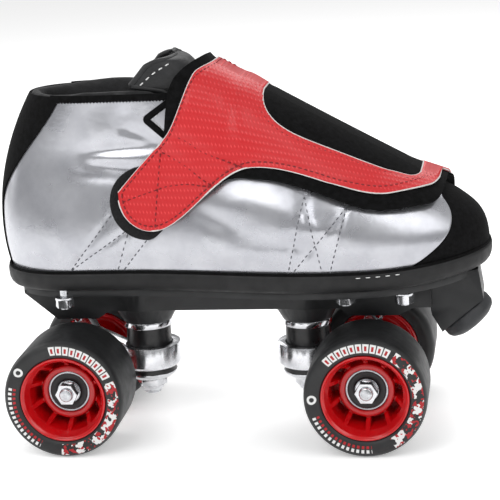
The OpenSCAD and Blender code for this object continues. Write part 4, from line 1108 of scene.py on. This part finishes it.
# distances are from the skate's middle plane
wheel = {
    "axleZ": 31.0, "axleX": {"front": 65.0, "rear": -89.0}, "steps": 160, "ribs": 10, "ribWidth": 2.3,
    "pocket": (14.0, 18.6), "pocketFloor": 36.0, "hubSteps": 480,
    # radius and distance round the section
    "tyre": [(22.25, 23.0), (22.25, 58.6), (22.5, 59.3), (23.1, 59.9), (24.2, 60.3), (26.6, 60.95), (28.4, 60.9),
             (29.5, 60.3), (30.3, 59.2), (30.8, 57.6), (31.0, 55.5), (31.0, 41.0), (31.0, 26.5), (30.8, 24.4),
             (30.3, 22.8), (29.5, 21.7), (28.4, 21.1), (26.6, 21.0), (24.2, 21.7), (23.1, 22.0), (22.5, 22.4)],
    # bore and boss; first and last radius of the dish and its number of rings; the rim and the back
    "boss": [(11.02, 22.5), (11.02, 46.4), (11.25, 46.85), (11.7, 47.0), (13.1, 47.0), (13.6, 46.8)],
    "dish": (13.8, 20.4, 40), "dishLow": 46.8, "dishDrop": 1.4, "dishRise": 13.4, "dishPower": 1.15, "wall": 0.75,
    "rim": [(20.7, 58.7), (21.1, 59.3), (21.6, 59.75), (22.0, 59.7), (22.18, 59.3), (22.18, 22.6), (21.8, 22.2),
            (20.2, 22.2), (19.8, 22.6), (19.8, 29.5), (13.6, 29.5), (13.6, 22.9), (13.2, 22.5)],
    # outer and inner face of each bearing; sections as radius and depth under the face
    "bearings": ((46.0, 39.0), (29.5, 22.5)), "bearingSteps": 96,
    "ring": [(10.98, 0.3), (10.7, 0), (9.9, 0), (9.6, 0.3)],
    "ringBack": [(9.4, 0.3), (9.9, 0), (10.7, 0), (10.98, 0.3)],
    "shield": [(9.55, 0.35), (9.3, 0.25), (8.2, 0.3), (7.6, 0.45), (6.3, 0.45), (6.2, 0.8), (9.3, 0.8)],
}


def lathe(section, centre, side, count):
    # section turned about the axle: x = cx + r cos a, z = cz + r sin a, y = side * distance; closed both ways
    a = np.linspace(0, 2 * math.pi, count, endpoint=False)[None, :]
    r, d = (np.array([q[k] for q in section], float).reshape(len(section), -1) for k in (0, 1))
    p = np.stack([centre[0] + r * np.cos(a), side * d + 0 * a, centre[1] + r * np.sin(a)], -1)
    return p, gridQuads(len(section), count, wrap=True, loop=True)


def printedTyre(name, centreX, phase):
    # Cast urethane, satin off its mould, with pad-printed marks on its outer face: tiles, specks and dashes.
    material = finish(name, {"Roughness": 0.5, "Specular IOR Level": 0.45}, ("1a1a1b", "212223", 12.0),
                      [("noise", 1.0, 0.03)], (0.42, 0.56, 5.0))
    tree = material.node_tree
    out = tree.nodes["Principled BSDF"]
    base = out.inputs["Base Color"].links[0].from_socket
    coords = addNode(tree, "TexCoord").outputs["Object"]
    place = addNode(tree, "SeparateXYZ", feeds={0: coords}).outputs
    specks = addNode(tree, "TexNoise", {"Scale": 520.0, "Detail": 1.0}, {"Vector": coords})
    blotch = addNode(tree, "TexNoise", {"Scale": 210.0, "Detail": 2.0}, {"Vector": coords})
    sockets = {"x": place[0], "y": place[1], "z": place[2], "specks": specks.outputs[0],
               "blotch": blotch.outputs[0]}
    # every line is: result, operation and its values; r is the radius in mm and a the angle in degrees
    for made, operation, *values in (
            ("dx", "SUBTRACT", "x", centreX / 1000), ("dz", "SUBTRACT", "z", wheel["axleZ"] / 1000),
            ("xx", "MULTIPLY", "dx", "dx"), ("zz", "MULTIPLY", "dz", "dz"), ("rr", "ADD", "xx", "zz"),
            ("r0", "SQRT", "rr"), ("r", "MULTIPLY", "r0", 1000.0), ("a0", "ARCTAN2", "dz", "dx"),
            ("a1", "MULTIPLY", "a0", 180 / math.pi), ("a2", "ADD", "a1", 720.0 - phase),
            ("a", "MODULO", "a2", 360.0), ("far", "ABSOLUTE", "y"), ("face", "GREATER_THAN", "far", 0.0601),
            # tiles from 60 to 135 degrees, 7.5 degrees each, with a red block in each
            ("arcA", "COMPARE", "a", 97.5, 37.5), ("tile0", "DIVIDE", "a", 7.5), ("tile", "FRACT", "tile0"),
            ("tileOn", "GREATER_THAN", "tile", 0.16), ("bandA", "COMPARE", "r", 26.6, 2.3),
            ("t1", "MULTIPLY", "tileOn", "bandA"), ("tiles", "MULTIPLY", "t1", "arcA"),
            ("blockA", "COMPARE", "tile", 0.6, 0.17), ("blockR", "COMPARE", "r", 26.6, 1.3),
            ("b1", "MULTIPLY", "blockA", "blockR"), ("blocks", "MULTIPLY", "b1", "arcA"),
            # splashes from -60 to 55 degrees
            ("w1", "ADD", "a", 60.0), ("w2", "MODULO", "w1", 360.0), ("arcB", "LESS_THAN", "w2", 116.0),
            ("bandB", "COMPARE", "r", 26.4, 2.9), ("white0", "GREATER_THAN", "blotch", 0.5),
            ("w3", "MULTIPLY", "white0", "arcB"), ("splash", "MULTIPLY", "w3", "bandB"),
            ("red0", "GREATER_THAN", "specks", 0.56), ("w4", "MULTIPLY", "red0", "arcB"),
            ("redSplash", "MULTIPLY", "w4", "bandB"),
            # short dashes from 200 to 275 degrees, white over red
            ("arcC", "COMPARE", "a", 238.0, 38.0), ("d0", "DIVIDE", "a", 5.4), ("d1", "FRACT", "d0"),
            ("dash", "LESS_THAN", "d1", 0.55), ("d2", "MULTIPLY", "dash", "arcC"),
            ("bandC", "COMPARE", "r", 27.3, 0.9), ("dashes", "MULTIPLY", "d2", "bandC"),
            ("bandD", "COMPARE", "r", 25.2, 0.7), ("redDashes", "MULTIPLY", "d2", "bandD"),
            # a round mark at 180 degrees: a ring of radius 1.8 mm
            ("m0", "SUBTRACT", "a", 180.0), ("m1", "MULTIPLY", "m0", 26.4 * math.pi / 180),
            ("m2", "MULTIPLY", "m1", "m1"), ("m3", "SUBTRACT", "r", 26.4), ("m4", "MULTIPLY", "m3", "m3"),
            ("m5", "ADD", "m2", "m4"), ("m6", "SQRT", "m5"), ("mark", "COMPARE", "m6", 1.8, 0.6),
            ("p1", "MAXIMUM", "tiles", "splash"), ("p2", "MAXIMUM", "dashes", "mark"), ("p3", "MAXIMUM", "p1", "p2"),
            ("pale", "MULTIPLY", "p3", "face"), ("q1", "MAXIMUM", "blocks", "redSplash"),
            ("q2", "MAXIMUM", "q1", "redDashes"), ("red", "MULTIPLY", "q2", "face")):
        feeds = {k: sockets.get(value, value) for k, value in enumerate(values)}
        sockets[made] = addNode(tree, "Math", {"operation": operation}, feeds).outputs[0]
    for ink, where in (("d9d9d8", "pale"), ("a3141c", "red")):
        base = addNode(tree, "Mix", {"data_type": "RGBA", 7: linear(ink)}, {0: sockets[where], 6: base}).outputs[2]
    tree.links.new(base, out.inputs["Base Color"])
    return material


tyreUrethane = {"front": printedTyre("tyreUrethaneFront", wheel["axleX"]["front"], 0.0),
                "rear": printedTyre("tyreUrethaneRear", wheel["axleX"]["rear"], -35.0)}


def hubShape(spec):
    # the boss, a dish rising to the rim, and the rim; between the ribs the dish drops to pockets with rounded walls
    a = np.linspace(0, 2 * math.pi, spec["hubSteps"], endpoint=False)
    radii = np.linspace(*spec["dish"])
    r = radii[:, None]
    rise = spec["dishRise"] * np.clip((r - 14.6) / 5.9, 0, 1) ** spec["dishPower"]
    dish = spec["dishLow"] - spec["dishDrop"] * smooth((r - 13.6) / 1.2) + rise
    step = 2 * math.pi / spec["ribs"]
    fromRib = r * (step / 2 - np.abs((a + 0.3) % step - step / 2)) - spec["ribWidth"] / 2
    inner, outer = spec["pocket"]
    inside = np.minimum(np.minimum(fromRib, r - inner), outer - r)
    z = dish - smooth((inside + 0.05) / spec["wall"]) * (dish - spec["pocketFloor"])
    whole = [[(r, np.full(len(a), d)) for r, d in spec[part]] for part in ("boss", "rim")]
    return whole[0] + list(zip(radii, z)) + whole[1]


hubSection = hubShape(wheel)
for end, side, tag in (("front", -1, "right"), ("front", 1, "left"), ("rear", -1, "right"), ("rear", 1, "left")):
    centre = (wheel["axleX"][end], wheel["axleZ"])
    node = f"{end}_{tag}"
    body = node + "_wheel"
    makePiece(node + "_tyre_cast", lathe(wheel["tyre"], centre, side, wheel["steps"]), tyreUrethane[end],
              node + "_tyre", body)
    makePiece(node + "_hub_moulded", lathe(hubSection, centre, side, wheel["hubSteps"]), redNylon, node + "_hub",
              body)
    rings, shields = [], []
    for near, far in wheel["bearings"]:
        inward = -1
        if near < 40:  # the inner bearing's shield faces the other way
            near, far, inward = far, near, 1
        ring = ([(r, near + inward * d) for r, d in wheel["ring"]]
                + [(r, far - inward * d) for r, d in wheel["ringBack"]])
        rings.append(lathe(ring, centre, side, wheel["bearingSteps"]))
        shield = [(r, near + inward * d) for r, d in wheel["shield"]]
        shields.append(lathe(shield, centre, side, wheel["bearingSteps"]))
    makePiece(node + "_bearing_rings", joined(rings), bearingSteel, node + "_bearings", body)
    makePiece(node + "_bearing_shields", joined(shields), shieldRubber, node + "_bearings", body, replaces=False)
print("wheels made")

# hard parts keep their CAD shape, with broken edges and their own finishes, by slot
finishes = {
    "nickel": nickelPlate, "nylon": mouldedNylon, "steel": zincSteel, "plug_rubber": plugRubber,
    "cup_nylon": cupNylon, "cushion_rubber": cushionUrethane, "polished_aluminium": polishedAluminium,
    "bearing_steel": bearingSteel, "tyre_urethane": tyreUrethane["front"], "red_hub": redNylon,
    "bearing_shield": shieldRubber, "sole_rubber": soleRubber, "insole": insoleBoardCloth,
    "silver_vinyl": silverVinyl, "black_suede": blackSuede, "collar_lining": liningCloth,
    "black_leather": blackLeather, "lace_cord": laceCotton, "loop_fabric": loopPile,
    "red_carbon_vinyl": redCarbonVinyl,
}
# width in mm of each part's broken edges
edgeWidths = {
    "plate": 0.9, "front_hanger": 0.7, "rear_hanger": 0.7, "toe_plug": 0.7, "plate_nuts": 0.3, "kingpin_nuts": 0.4,
    "upper_cup_washers": 0.25, "lower_cup_washers": 0.25, "front_axle_nuts": 0.3, "rear_axle_nuts": 0.3,
    "front_axle": 0.9, "rear_axle": 0.9, "kingpins": 0.5, "front_pivot_locknut": 0.3, "rear_pivot_locknut": 0.3,
}
for node, width in edgeWidths.items():
    softened(node, width, finishes[slotOf[node]])
for node, ob in frame["nodes"].items():
    for slot in ob.material_slots:
        slot.material = finishes[slotOf[node]]
print("hard parts finished")
